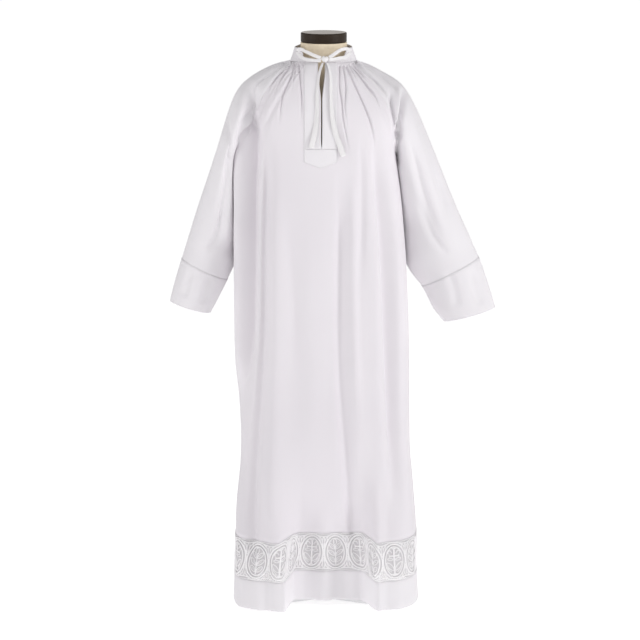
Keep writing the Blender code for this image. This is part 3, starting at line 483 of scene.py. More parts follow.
def fold_sum(x, z, folds):
    """Total depth of the folds at points (x, z) of their face."""
    total = np.zeros(np.shape(x))
    for line, low_width, high_width, depth, fade_in, fade_out in folds:
        line = spline(line, 6 * len(line))
        steps = np.linalg.norm(np.diff(line, axis=0), axis=1)
        run = np.concatenate(([0.0], np.cumsum(steps))) / steps.sum()
        nearest = np.full(np.shape(x), 1e9)
        along = np.zeros(np.shape(x))
        aside = np.zeros(np.shape(x))
        for k in range(len(steps)):
            a, d = line[k], line[k + 1] - line[k]
            t = ((x - a[0]) * d[0] + (z - a[1]) * d[1]) / (d @ d)
            first, last = k == 0, k == len(steps) - 1
            t = np.clip(t, -np.inf if first else 0.0, np.inf if last else 1.0)
            gap_x, gap_z = x - (a[0] + d[0] * t), z - (a[1] + d[1] * t)
            gap = np.hypot(gap_x, gap_z)
            closer = gap < nearest
            nearest = np.where(closer, gap, nearest)
            aside = np.where(closer, np.sign(gap_x) * gap, aside)
            along = np.where(closer, run[k] + (run[k + 1] - run[k]) * t, along)
        width = np.where(aside < 0.0, low_width, high_width)
        ends = ease(along, 0.0, fade_in)
        if fade_out >= OPEN_END:
            ends = ends * ease(-along, -1.0, fade_out - 1.0)
        total += depth * FOLD_DEPTH * np.exp(-(aside / width) ** 2) * ends
    return total


def gather_list(seed, count):
    """Uneven gathers on one side: place as a share of the way from the centre front round to
    the centre back, width, depth, length over which it fades, and drift down the cloth."""
    rng = np.random.default_rng(seed)
    steps = rng.uniform(0.45, 1.55, count)
    places = np.cumsum(steps)
    places = (places - steps[0] * 0.5) / places[-1]
    main = rng.random(count) < 0.4
    return np.stack([places, rng.uniform(0.0017, 0.003, count),
                     np.where(main, rng.uniform(0.005, 0.008, count),
                              rng.uniform(0.0022, 0.004, count)),
                     np.where(main, rng.uniform(0.11, 0.3, count),
                              rng.uniform(0.04, 0.12, count)),
                     rng.uniform(-0.05, 0.05, count)], axis=1)


SLEEVE_TUCK = {1: 0.0052, -1: 0.0028}
HALF_NECKLINE = math.pi * NECKLINE_RADIUS
NECK_GATHER = 0.35       # share of the gathers' depth right at the neckline
NECK_GATHER_END = 0.012
FACED_GATHER = 0.12      # share where the facing strips lie, up to where they end
FACED_FROM, FACED_TO = 0.036, 0.052
PLACED_GATHER = 0.45     # share where the chief gathers are given one by one
PLACED_FROM, PLACED_TO = 0.12, 0.16
GATHER_SPREAD = 7.0
GATHERS = {1: gather_list(11, 44), -1: gather_list(23, 43)}


def gather_sum(side, arc, run):
    total = np.zeros(np.broadcast_shapes(np.shape(arc), np.shape(run)))
    for place, width, depth, length, drift in GATHERS[side]:
        middle = place * HALF_NECKLINE + drift * run
        wide = width * (1.0 + GATHER_SPREAD * run)
        fade = np.exp(-(run / length) ** 2.2)
        total -= depth * np.exp(-((arc - middle) / wide) ** 2) * fade
    return total


def faced_share(arc):
    return FACED_GATHER + (1.0 - FACED_GATHER) * ease(np.abs(arc), FACED_FROM, FACED_TO)


def gather_offset(side, arc, run):
    """Depth of the gathers at a distance round the neckline and down from it."""
    start = NECK_GATHER + (1.0 - NECK_GATHER) * ease(run, 0.0, NECK_GATHER_END)
    placed = ease(np.abs(arc), PLACED_FROM, PLACED_TO)
    placed = PLACED_GATHER + (1.0 - PLACED_GATHER) * placed
    return gather_sum(side, arc, run) * start * placed * faced_share(arc)


# ---------------------------------------------------------------- robe grids
FRONT_COLUMNS = 128
BACK_COLUMNS = 62
SLEEVE_COLUMNS = 128
CAPE_ROWS = 92
SKIRT_ROWS = 92
SLEEVE_ROWS = 74
CUFF_ROWS = 30
LACE_ROWS = 16
HEM_ROWS = 14
NECK_ROWS = 18           # rows of the cape above NECK_LEVEL, where the gathers are fine
NECK_LEVEL = 0.12
HEM_PACE = 0.55          # columns: this share evenly by hem length, the rest by turn
SEAM_COLUMNS_REACH = 16.0
# Turns the normals at the raglan seams to the front or the back, in the order of PARTS.
SEAM_FACINGS = (-0.4, 0.4, 0.0, 0.4, -0.4)
RING_PASSES = 260
DOWN_PASSES = 360


def column_turns(face, side, count):
    """Turns that share out the length of both the neckline and the hem evenly."""
    fine = np.linspace(0.0, 1.0, 1501)
    angle = side * (90.0 * fine if face == "front" else 180.0 - 90.0 * fine)
    hem = body_base(angle, np.full(fine.shape, 0.06))
    if face == "front":
        hem[:, 1] += hollow_offset(hem[:, 0], hem[:, 2])
    steps = np.linalg.norm(np.diff(hem, axis=0), axis=1)
    pace = steps / steps.sum() * HEM_PACE + (1.0 - HEM_PACE) / len(steps)
    run = np.concatenate(([0.0], np.cumsum(pace)))
    return np.interp(np.linspace(0.0, 1.0, count + 1), run, fine)


def slit_half_width(z):
    gape = 0.0075 * ease(z, 1.395, 1.48)
    return (0.0014 + gape) * ease(z, SLIT_BOTTOM_Z, SLIT_BOTTOM_Z + 0.02)


CAPE_LEVELS = np.concatenate((np.linspace(0.0, NECK_LEVEL, NECK_ROWS + 1)[:-1],
                              np.linspace(NECK_LEVEL, 1.0, CAPE_ROWS - NECK_ROWS)))
LACE_LEVEL = 2.0 + (LACE_TOP_Z - LACE_BOTTOM_Z) / (LACE_TOP_Z - HEM_Z)
SKIRT_LEVELS = np.concatenate((np.linspace(1.0, 2.0, SKIRT_ROWS + 1),
                               np.linspace(2.0, LACE_LEVEL, LACE_ROWS + 1)[1:],
                               np.linspace(LACE_LEVEL, 3.0, HEM_ROWS + 1)[1:]))
SLEEVE_LEVELS = np.concatenate((np.linspace(1.0, 2.0, SLEEVE_ROWS + 1)[1:],
                                np.linspace(2.0, 2.5, CUFF_ROWS + 1)[1:]))
TURNS = {(face, side): column_turns(face, side, count)
         for face, count in (("front", FRONT_COLUMNS), ("back", BACK_COLUMNS))
         for side in (1, -1)}
SHARES = np.linspace(-1.0, 1.0, SLEEVE_COLUMNS + 1)
# The cape as one ring from the slit leftwards round the back to the slit again.
PARTS = (("front", 1), ("sleeve", 1), ("back", 1), ("back", -1), ("sleeve", -1), ("front", -1))


def part_grid(kind, side, levels):
    if kind == "sleeve":
        table = SLEEVE_LEFT if side > 0 else SLEEVE_RIGHT
        shares = SHARES if side > 0 else -SHARES
        return sleeve_base(table, side, levels[:, None], shares[None, :])
    turns = TURNS[(kind, side)]
    grid = panel_base(kind, side, levels, turns)
    forward = (kind == "front") == (side > 0)
    return grid if forward else grid[:, ::-1]


def smooth_ring(ring, seams, levels):
    """Softens the bend at the raglan seams, less and less towards the underarm."""
    index = np.arange(ring.shape[1])
    mask = np.max([np.exp(-((index - seam) / SEAM_COLUMNS_REACH) ** 2) for seam in seams],
                  axis=0)
    weight = mask[None, :] * ease(-levels, -0.93, -0.55)[:, None]
    weight = weight * ease(levels, 0.0, 0.06)[:, None]
    for _ in range(RING_PASSES):
        near = (np.roll(ring, 1, 1) + np.roll(ring, -1, 1)) * 0.5
        near[:, 0], near[:, -1] = ring[:, 0], ring[:, -1]
        ring = ring + (near - ring) * (0.5 * weight)[..., None]
    return ring


def soften_down(grid, levels, near_seam):
    """Softens the bend down each column where the cape turns into the skirt or sleeve."""
    weight = ease(levels, 0.55, 0.9) * ease(-levels, -1.42, -1.1)
    weight = weight[1:-1, None, None] * 0.5 * near_seam[None, :, None]
    for _ in range(DOWN_PASSES):
        middle = (grid[:-2] + grid[2:]) * 0.5
        grid[1:-1] += (middle - grid[1:-1]) * weight
    return grid


def neck_arc(kind, side):
    """Distance round the neckline from the front centre, for a part's columns."""
    top = part_grid(kind, side, np.array([0.0]))[0]
    angle = np.abs(np.arctan2(top[:, 0], -top[:, 1]))
    return angle * NECKLINE_RADIUS


def folded(kind, side, grid, normals, levels, columns_turn):
    """Moves a part's grid along its normals by its folds and gathers."""
    x, z = grid[..., 0], grid[..., 2]
    run = np.concatenate((np.zeros((1, grid.shape[1])),
                          np.cumsum(np.linalg.norm(np.diff(grid, axis=0), axis=-1), axis=0)))
    offset = gather_offset(side, neck_arc(kind, side)[None, :], run)
    turn = np.abs(columns_turn)[None, :]
    level = levels[:, None]
    if kind == "sleeve":
        front = columns_turn[None, :] < 0.0
        own = SLEEVE_FOLDS_LEFT if side > 0 else SLEEVE_FOLDS_RIGHT
        above = ease(-level, -1.1, -0.98)
        shared = np.where(front, fold_sum(x, z, FRONT_FOLDS) + front_gathers(x, z),
                          fold_sum(x, z, BACK_FOLDS)) * above
        lone = fold_sum(side * x, z, own)
        outer = ease(turn, 0.02, 0.26)
        inner = 1.0 - ease(turn, 0.84, 1.0) * ease(level, 0.88, 0.98)
        offset = offset * inner + (shared + lone) * outer * inner
    else:
        folds = FRONT_FOLDS if kind == "front" else BACK_FOLDS
        start = np.where(level < 1.0, 0.8, np.interp(level, (1.0, 1.12), (0.8, 0.93)))
        seam = np.clip((turn - start) / (1.0 - start), 0.0, 1.0)
        fade = 1.0 - seam * seam * (3.0 - 2.0 * seam) * ease(level, 0.88, 0.98)
        if kind == "front":
            above = ease(z, UNDERARM_Z - 0.02, UNDERARM_Z + 0.02)
            offset = offset + front_gathers(x, z) * above
        offset = (offset + fold_sum(x, z, folds)) * fade
    return grid + normals * offset[..., None]


def cape_normals(wholes, rows):
    """Normals of every part, shared along the raglan seams above the underarm."""
    normals = [grid_normals(grid) for grid in wholes]
    for k in range(len(wholes) - 1):
        here, there = normals[k][:rows, -1], normals[k + 1][:rows, 0]
        mean = here + there
        mean[:, 1] += SEAM_FACINGS[k]
        mean = unit(mean)
        normals[k][:rows, -1] = mean
        normals[k + 1][:rows, 0] = mean
    return normals


def close_seams(grids, rows):
    """Brings the edges that meet onto one line: raglan seams, underarms and side seams."""
    for k in range(len(grids) - 1):
        mean = (grids[k][:rows, -1] + grids[k + 1][:rows, 0]) / 2
        grids[k][:rows, -1] = mean
        grids[k + 1][:rows, 0] = mean
    for front, sleeve, back, near, far in ((0, 1, 2, -1, 0), (5, 4, 3, 0, -1)):
        under = (grids[front][rows - 1, near] + grids[back][rows - 1, far]) / 2
        grids[front][rows - 1, near] = under
        grids[back][rows - 1, far] = under
        grids[sleeve][rows - 1, 0] = under
        grids[sleeve][rows - 1, -1] = under
        side = (grids[front][rows:, near] + grids[back][rows:, far]) / 2
        grids[front][rows:, near] = side
        grids[back][rows:, far] = side
        inner = (grids[sleeve][rows:, 0] + grids[sleeve][rows:, -1]) / 2
        grids[sleeve][rows:, 0] = inner
        grids[sleeve][rows:, -1] = inner


# Where the sleeve lies against the body, the cloth of both comes forward: the place across,
# how far forward, and the heights between which it does.
ARMPITS = ((-0.242, 0.05, 1.07, 1.275), (0.203, 0.022, 1.14, 1.25))
ARMPIT_HALF_WIDTH = 0.05
ARMPIT_HALF_DEPTH = 0.055
ARMPIT_FADE_BELOW = 0.11
ARMPIT_FADE_ABOVE = 0.09
# Creases that run from the notch down to where the sleeve and the body part.
ARMPIT_CREASES = (
    (((0.199, 1.338), (0.1965, 1.3), (0.1955, 1.268), (0.197, 1.215)),
     0.0038, 0.0065, -0.012, 0.55, 0.3),
)


def fill_armpits(grid):
    x, y, z = grid[..., 0], grid[..., 1], grid[..., 2]
    for middle, amount, low_z, top_z in ARMPITS:
        near = np.exp(-((x - middle) / ARMPIT_HALF_WIDTH) ** 2)
        near = near * ease(z, low_z - ARMPIT_FADE_BELOW, low_z)
        near = near * ease(-z, -top_z - ARMPIT_FADE_ABOVE, -top_z)
        y = y - amount * near * np.exp(-(y / ARMPIT_HALF_DEPTH) ** 2)
    grid[..., 1] = y - fold_sum(x, z, ARMPIT_CREASES) * ease(-y, 0.0, 0.03)


LOBE_TOP_DROP = 0.0125
LOBE_LOW_DROP = 0.006


def sag_lace(grid, level, share):
    """Lets the lace hang lower on the skirt's two lobes than in the hollow between them."""
    x = grid[..., 0]
    lobe = np.maximum(ease(-x, 0.085, 0.13), ease(x, 0.105, 0.15))
    drop = np.interp(level, (1.7, 2.0, LACE_LEVEL, 3.0),
                     (0.0, LOBE_TOP_DROP, LOBE_LOW_DROP, 0.0))
    grid[..., 2] -= lobe * drop[:, None] * share


def build_cape():
    """Finished grids of every part: the panels run on to the hem, the sleeves to the cuffs."""
    grids = [part_grid(kind, side, CAPE_LEVELS) for kind, side in PARTS]
    counts = [grid.shape[1] for grid in grids]
    starts = np.cumsum([0] + [count - 1 for count in counts])
    ring = np.concatenate([grids[0]] + [grid[:, 1:] for grid in grids[1:]], axis=1)
    ring = smooth_ring(ring, [starts[1], starts[2], starts[4], starts[5]], CAPE_LEVELS)
    wholes, turns, levels = [], [], []
    for (kind, side), start, count in zip(PARTS, starts, counts):
        if kind == "sleeve":
            low_levels, turn = SLEEVE_LEVELS, SHARES * side
        else:
            low_levels, turn = SKIRT_LEVELS[1:], TURNS[(kind, side)]
            if (kind == "front") != (side > 0):
                turn = turn[::-1]
        whole = np.concatenate((ring[:, start:start + count], part_grid(kind, side, low_levels)))
        level = np.concatenate((CAPE_LEVELS, low_levels))
        wholes.append(soften_down(whole, level, ease(1.0 - np.abs(turn), 0.0, 0.22)))
        turns.append(turn)
        levels.append(level)
    rows = len(CAPE_LEVELS)
    normals = cape_normals(wholes, rows)
    out = []
    for k, (kind, side) in enumerate(PARTS):
        grid = folded(kind, side, wholes[k], normals[k], levels[k], turns[k])
        if kind == "front":
            grid[..., 1] += hollow_offset(grid[..., 0], grid[..., 2])
        if kind == "sleeve":
            tuck = ease(np.abs(turns[k]), 0.7, 1.0)[None, :]
            tuck = tuck * (ease(levels[k], 1.0, 1.05) * ease(-levels[k], -1.75, -1.35))[:, None]
            grid[..., 0] -= side * SLEEVE_TUCK[side] * tuck
        fill_armpits(grid)
        if kind != "sleeve":
            side_share = ease(np.abs(turns[k]), 0.55, 1.0)
            sag_lace(grid, levels[k], 1.0 if kind == "front" else side_share)
        out.append(grid)
    close_seams(out, rows)
    return dict(zip(PARTS, out))


# ---------------------------------------------------------------- materials
def add_node(tree, kind, **values):
    """A new node; a value goes to the setting of that name, or else to the input."""
    node = tree.nodes.new(kind)
    for name, value in values.items():
        if hasattr(node, name):
            setattr(node, name, value)
        else:
            set_inputs(node, **{name: value})
    return node


def link(tree, source, output, target, entry):
    tree.links.new(source.outputs[output], target.inputs[entry])


def noise(tree, source, output, scale):
    node = add_node(tree, "ShaderNodeTexNoise", Scale=scale)
    link(tree, source, output, node, "Vector")
    return node


def ramp(tree, source, low, high, places=(0.0, 1.0)):
    """Two colours, from low to high, mixed by a noise."""
    node = add_node(tree, "ShaderNodeValToRGB")
    for element, place, colour in zip(node.color_ramp.elements, places, (low, high)):
        element.position = place
        element.color = (*colour, 1.0)
    link(tree, source, "Fac", node, "Fac")
    return node


def bump(tree, source, output, shader, strength, distance):
    node = add_node(tree, "ShaderNodeBump", Strength=strength, Distance=distance)
    link(tree, source, output, node, "Height")
    link(tree, node, "Normal", shader, "Normal")


def cloth_material(name, light, dark, weave=0.00055, weave_depth=0.00012):
    """Plain woven cloth: warp and weft bumps, a faint slub and large soft colour drift."""
    material, tree, shader = new_material(name)
    coordinates = add_node(tree, "ShaderNodeTexCoord")
    drift = noise(tree, coordinates, "Object", 2.6)
    link(tree, ramp(tree, drift, dark, light, (0.35, 0.65)), "Color", shader, "Base Color")
    uv = add_node(tree, "ShaderNodeUVMap", uv_map="weave")
    split = add_node(tree, "ShaderNodeSeparateXYZ")
    link(tree, uv, "UV", split, "Vector")
    crossed = add_node(tree, "ShaderNodeMath", operation="MULTIPLY")
    for entry, axis in enumerate("XY"):
        scaled = add_node(tree, "ShaderNodeMath", operation="MULTIPLY")
        scaled.inputs[1].default_value = math.tau / weave
        link(tree, split, axis, scaled, 0)
        wave = add_node(tree, "ShaderNodeMath", operation="SINE")
        link(tree, scaled, 0, wave, 0)
        link(tree, wave, 0, crossed, entry)
    stretch = add_node(tree, "ShaderNodeMapping", Scale=(1.0, 0.06, 1.0))
    link(tree, uv, "UV", stretch, "Vector")
    slub = noise(tree, stretch, "Vector", 900.0)
    total = add_node(tree, "ShaderNodeMath", operation="ADD")
    link(tree, crossed, 0, total, 0)
    link(tree, slub, "Fac", total, 1)
    bump(tree, total, 0, shader, 0.35, weave_depth)
    set_inputs(shader, Roughness=0.86, Specular_IOR_Level=0.25, Sheen_Weight=0.25,
               Sheen_Roughness=0.45)
    return material


# The alb cloth in two copies with painted light: the second copy is painted brighter for the
# sleeves, cuffs, hem, collar and plackets, which looked more lit from the sides than the body.
ALB = cloth_material("alb_weave", (0.785, 0.753, 0.785), (0.76, 0.727, 0.762))
ALB_PAINTED_LIGHTER = cloth_material("alb_weave_painted_lighter", (0.805, 0.784, 0.808), (0.79, 0.766, 0.793))
TAPE = cloth_material("tie_tape_weave", (0.83, 0.815, 0.82), (0.81, 0.795, 0.8),
                      weave=0.0008, weave_depth=0.0002)
LACE_CORD = cloth_material("lace_cord", (0.94, 0.925, 0.938), (0.92, 0.905, 0.918),
                           weave=0.0009, weave_depth=0.0004)
# The net thread is painted a darker grey than the cords: painted shade for the shaded cloth seen
# through the lace.
LACE_NET_PAINTED_SHADE = cloth_material("lace_net_thread_painted_shade", (0.735, 0.715, 0.732), (0.71, 0.69, 0.708),
                          weave=0.0006, weave_depth=0.0002)
STITCH = cloth_material("stitch_thread", (0.805, 0.78, 0.806), (0.79, 0.765, 0.792))


# ---------------------------------------------------------------- pieces
def piece(name, mesh, material, slot, *nodes):
    item = bpy.data.objects.new(name, mesh)
    SCENE.collection.objects.link(item)
    mesh.materials.clear()
    mesh.materials.append(material)
    for polygon in mesh.polygons:
        polygon.use_smooth = True
    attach(item, "root")
    if nodes:
        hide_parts(*nodes)
    return item


def grid_quads(rows, columns, closed=False):
    """Faces of a grid of points, each from its upper corner down and round."""
    index = np.arange(rows * columns).reshape(rows, columns)
    if closed:
        index = np.concatenate((index, index[:, :1]), axis=1)
    return np.stack((index[:-1, :-1], index[1:, :-1], index[1:, 1:], index[:-1, 1:]),
                    axis=-1).reshape(-1, 4)


def grid_mesh(name, points, closed=False, flip=False):
    """A quad mesh of a grid of points with a UV map in metres of cloth."""
    quads = grid_quads(*points.shape[:2], closed)
    if flip:
        quads = quads[:, ::-1]
    mesh = bpy.data.meshes.new(name)
    mesh.from_pydata(points.reshape(-1, 3).tolist(), [], quads.tolist())
    across = np.linalg.norm(np.diff(points, axis=1), axis=-1).mean(axis=0)
    down = np.linalg.norm(np.diff(points, axis=0), axis=-1).mean(axis=1)
    u = np.concatenate(([0.0], np.cumsum(across)))
    if closed:
        u = np.concatenate((u, [u[-1] + across.mean()]))
    v = np.concatenate(([0.0], np.cumsum(down)))
    cell_u = np.stack((u[:-1], u[:-1], u[1:], u[1:]), axis=-1)
    cell_v = np.stack((v[:-1], v[1:], v[1:], v[:-1]), axis=-1)
    uv = np.stack(np.broadcast_arrays(cell_u[None, :, :], cell_v[:, None, :]), axis=-1)
    if flip:
        uv = uv[:, :, ::-1]
    layer = mesh.uv_layers.new(name="weave")
    layer.data.foreach_set("uv", uv.astype(np.float32).ravel())
    return mesh


def add_wall(item, wall=WALL, offset=-1.0):
    """Gives a surface its wall: inwards, or both ways with an offset of 0."""
    solid = item.modifiers.new("wall", "SOLIDIFY")
    solid.thickness = wall
    solid.offset = offset


def shell(name, points, material, slot, node, wall=WALL, closed=False, offset=-1.0):
    item = piece(name, grid_mesh(name, points, closed), material, slot, node)
    add_wall(item, wall, offset)
    return item


def joined(meshes, name):
    """One mesh from several (verts, faces) pairs."""
    verts, faces, base = [], [], 0
    for v, f in meshes:
        verts.append(np.asarray(v, float))
        faces.extend([tuple(int(i) + base for i in face) for face in f])
        base += len(v)
    mesh = bpy.data.meshes.new(name)
    mesh.from_pydata(np.concatenate(verts).tolist(), [], faces)
    return mesh


GRIDS = build_cape()


FLAT = np.array((1.0, 1.0, 0.0))
TURNED_IN = ((0.0022, 0.0034), (0.0016, 0.0002))   # how far in and up, from the edge down


def turned_in(grid):
    """Adds the cloth's allowance that runs up inside the collar from the neckline."""
    top = grid[:1]
    rows = [top - unit(top * FLAT) * inward + np.array((0.0, 0.0, rise))
            for inward, rise in TURNED_IN]
    return np.concatenate((*rows, grid))


def slit_halves():
    """The front's two grids, opened along the slit and meeting on one line below it."""
    left, right = GRIDS[("front", -1)][:, ::-1].copy(), GRIDS[("front", 1)].copy()
    for side, grid in ((1, right), (-1, left)):
        target = SLIT_X + side * slit_half_width(grid[:, 0, 2])
        shift = target - grid[:, 0, 0]
        reach = np.linalg.norm(grid - grid[:, :1], axis=-1)
        near = np.exp(-(reach / 0.018) ** 2) * ease(grid[:, :1, 2], 1.2, SLIT_BOTTOM_Z)
        grid[..., 0] += shift[:, None] * near
    middle = (left[:, 0] + right[:, 0]) * 0.5
    closed = left[:, 0, 2] <= SLIT_BOTTOM_Z
    for grid in (left, right):
        grid[closed, 0] = middle[closed]
    return left, right


WELD = 0.00003


def welded(name, grids, distance=WELD):
    """One mesh from (grid, flip) pairs, joined where they meet."""
    work = bmesh.new()
    for grid, flip in grids:
        work.from_mesh(grid_mesh(name, grid, flip=flip))
    bmesh.ops.remove_doubles(work, verts=work.verts, dist=distance)
    mesh = bpy.data.meshes.new(name)
    work.to_mesh(mesh)
    work.free()
    return mesh


FRONT_LEFT, FRONT_RIGHT = slit_halves()
SKIRT_END = len(CAPE_LEVELS) + SKIRT_ROWS


def build_front():
    halves = []
    for grid, flip in ((FRONT_RIGHT, False), (FRONT_LEFT, True)):
        grid = grid[:SKIRT_END].copy()
        grid[:, -1] += unit(grid[:, -2] - grid[:, -1]) * SEAM_GAP
        halves.append((turned_in(grid), flip))
    item = piece("robe_front", welded("robe_front", halves), ALB, "alb_cloth", "front_panel")
    add_wall(item)


def build_back():
    grid = np.concatenate((GRIDS[("back", 1)], GRIDS[("back", -1)][:, 1:]), axis=1)
    grid = grid[:SKIRT_END].copy()
    grid[:, 0] += unit(grid[:, 1] - grid[:, 0]) * SEAM_GAP
    grid[:, -1] += unit(grid[:, -2] - grid[:, -1]) * SEAM_GAP
    item = shell("robe_back", turned_in(grid), ALB, "alb_cloth", "back_panel")


SLEEVE_CLEAR = 0.0004    # from the body, for the sleeve and the cuff
CUFF_OVERLAP = 0.0025    # how far the cuff laps over the sleeve
CUFF_PROUD = 0.0006


def build_sleeve(side):
    """A sleeve and its cuff; gives back the cuff's grid."""
    grid = GRIDS[("sleeve", side)]
    levels = np.concatenate((CAPE_LEVELS, SLEEVE_LEVELS[:SLEEVE_ROWS]))
    rows = len(levels)
    upper, cuff = grid[:rows].copy(), grid[rows - 1:, :-1].copy()
    upper[..., 0] += side * SLEEVE_CLEAR * ease(levels, 1.0, 1.06)[:, None]
    raglan = upper[:len(CAPE_LEVELS) - 1]
    raglan[:, 0] += unit(raglan[:, 1] - raglan[:, 0]) * SEAM_GAP
    raglan[:, -1] += unit(raglan[:, -2] - raglan[:, -1]) * SEAM_GAP
    name = "left" if side > 0 else "right"
    mesh = welded("robe_sleeve_" + name, [(turned_in(upper), False)], 0.00005)
    item = piece("robe_sleeve_" + name, mesh, ALB_PAINTED_LIGHTER, "alb_cloth", "sleeve_" + name)
    add_wall(item)
    cuff[0] += unit(cuff[0] - cuff[1]) * CUFF_OVERLAP
    cuff = cuff + grid_normals(cuff, closed=True) * CUFF_PROUD
    cuff[..., 0] += side * SLEEVE_CLEAR
    band = shell("robe_cuff_" + name, cuff, ALB_PAINTED_LIGHTER, "alb_cloth", "cuff_" + name,
                 wall=DOUBLE_WALL, closed=True)
    return cuff


# ---------------------------------------------------------------- hem and lace
RING = np.concatenate((FRONT_RIGHT, GRIDS[("back", 1)][:, 1:], GRIDS[("back", -1)][:, 1:],
                       FRONT_LEFT[:, ::-1][:, 1:-1]), axis=1)[SKIRT_END - 1:]


class Band:
    """A closed ring of cloth that places things by distance round it and down it."""

    def __init__(self, grid):
        self.grid = grid
        self.normals = grid_normals(grid, closed=True)
        middle = grid[len(grid) // 2]
        loop = np.concatenate((middle, middle[:1]))
        self.run = np.concatenate(([0.0], np.cumsum(np.linalg.norm(np.diff(loop, axis=0),
                                                                   axis=1))))
        self.length = self.run[-1]
        drop = np.linalg.norm(np.diff(grid, axis=0), axis=-1).mean(axis=1)
        self.drop = np.concatenate(([0.0], np.cumsum(drop)))
        self.height = self.drop[-1]

    def at(self, u, v, out=0.0):
        """Points at distances u round and v down, moved out along the normal."""
        u, v = np.broadcast_arrays(np.asarray(u, float) % self.length, np.asarray(v, float))
        c = np.clip(np.searchsorted(self.run, u, side="right") - 1, 0, len(self.run) - 2)
        s = (u - self.run[c]) / (self.run[c + 1] - self.run[c])
        r = np.clip(np.searchsorted(self.drop, v, side="right") - 1, 0, len(self.drop) - 2)
        t = (v - self.drop[r]) / (self.drop[r + 1] - self.drop[r])
        n = (c + 1) % self.grid.shape[1]
        s, t = s[..., None], t[..., None]

        def mixed(field):
            top = field[r, c] * (1 - s) + field[r, n] * s
            low = field[r + 1, c] * (1 - s) + field[r + 1, n] * s
            return top * (1 - t) + low * t

        normal = unit(mixed(self.normals))
        return mixed(self.grid) + normal * np.asarray(out)[..., None], normal


LACE = Band(RING[:LACE_ROWS + 1])
HEM = Band(RING[LACE_ROWS:])
NET_WIDE = 0.0046
NET_TALL = 0.0048
NET_OPEN = 0.42


def build_net():
    """Diamond net of the lace: every mesh of the net is a real hole."""
    around = int(LACE.length / NET_WIDE)
    half_rows = int(LACE.height / (NET_TALL / 2)) // 2 * 2
    wide, tall = LACE.length / around, LACE.height / half_rows
    index = np.arange((half_rows + 1) * around).reshape(half_rows + 1, around)
    rows, columns = np.meshgrid(np.arange(half_rows + 1), np.arange(around), indexing="ij")
    corner_u = (columns + 0.5 * (rows % 2)) * wide
    corner_v = rows * tall
    top = index[:-2]
    odd = (np.arange(half_rows - 1) % 2 == 1)[:, None]
    left = np.where(odd, index[1:-1], np.roll(index[1:-1], 1, 1))
    right = np.where(odd, np.roll(index[1:-1], -1, 1), index[1:-1])
    low = index[2:]
    middle_u, middle_v = corner_u[:-2], corner_v[1:-1]
    flat_u = [corner_u.ravel()]
    flat_v = [corner_v.ravel()]
    inner = []
    base = index.size
    for du, dv in ((0.0, -1.0), (-0.5, 0.0), (0.0, 1.0), (0.5, 0.0)):
        flat_u.append((middle_u + du * wide * NET_OPEN).ravel())
        flat_v.append((middle_v + dv * tall * NET_OPEN).ravel())
        inner.append(np.arange(middle_u.size).reshape(middle_u.shape) + base)
        base += middle_u.size
    outer = (top, left, low, right)
    quads = []
    for k in range(4):
        n = (k + 1) % 4
        quads.append(np.stack((outer[k], outer[n], inner[n], inner[k]), axis=-1).reshape(-1, 4))
    points, _ = LACE.at(np.concatenate(flat_u), np.concatenate(flat_v), -0.0004)
    mesh = bpy.data.meshes.new("lace_net")
    mesh.from_pydata(points.tolist(), [], np.concatenate(quads).tolist())
    return piece("lace_net", mesh, LACE_NET_PAINTED_SHADE, "alb_lace", "lace_band")


def cord_on(band, path, width, height, closed=False, lift=0.0, sides=6):
    """A low rounded cord along a path of (u, v) on a band, as verts and faces."""
    path = np.asarray(path, float)
    count = len(path)
    points, normals = band.at(path[:, 0], path[:, 1], lift)
    if closed:
        along = np.roll(points, -1, 0) - np.roll(points, 1, 0)
    else:
        along = np.gradient(points, axis=0)
    across = unit(np.cross(normals, along))
    turns = np.arange(sides) * math.tau / sides
    ring = (points[:, None] + across[:, None] * (np.cos(turns)[None, :, None] * width / 2)
            + normals[:, None] * ((0.45 + 0.55 * np.sin(turns))[None, :, None] * height))
    index = np.arange(count * sides).reshape(count, sides)
    if closed:
        index = np.concatenate((index, index[:1]))
    a, b = index[:-1], index[1:]
    faces = np.stack((a, np.roll(a, -1, 1), np.roll(b, -1, 1), b), axis=-1).reshape(-1, 4)
    faces = [tuple(f) for f in faces]
    if not closed:
        faces.append(tuple(index[0][::-1]))
        faces.append(tuple(index[-1]))
    return ring.reshape(-1, 3), faces


MOTIF_PITCH_AIM = 0.0735
MOTIFS = int(round(LACE.length / MOTIF_PITCH_AIM / 2)) * 2
PITCH = LACE.length / MOTIFS
CORD_HEIGHT = 0.0022
CORD_STOUT = 1.45        # how much wider and higher than its row a motif's cord is made
CORD_RAISED = 1.5
# Half width and half height of an oval's two cords, the cord's width and its points.
OVALS = ((0.0335, 0.048, 0.0046, 64), (0.0257, 0.04, 0.0038, 56))


def oval(wide, tall, steps):
    t = np.linspace(0.0, math.tau, steps, endpoint=False)
    return np.stack((wide * np.sin(t), tall * np.cos(t)), axis=1)


def leaf(base, tip, plump, steps=14):
    """A closed pointed leaf from its base to its tip."""
    base, tip = np.array(base, float), np.array(tip, float)
    t = np.linspace(0.0, math.pi, steps)
    along = (1.0 - np.cos(t)) / 2
    swell = np.sin(t) ** 1.3 * plump
    side = np.array((-(tip - base)[1], (tip - base)[0]))
    side = side / np.linalg.norm(side)
    line = base + (tip - base) * along[:, None]
    there = line + side * swell[:, None]
    back = (line - side * swell[:, None])[::-1][1:-1]
    return np.concatenate((there, back))


def line(*points, steps):
    return spline(points, steps * (len(points) - 1) + 1)


# Each stroke of a motif: its path, whether it is closed, width and height of the cord.
def stem(width, height, *points, steps):
    return line(*points, steps=steps), False, width, height


def petal(width, height, base, tip, plump):
    return leaf(base, tip, plump), True, width, height


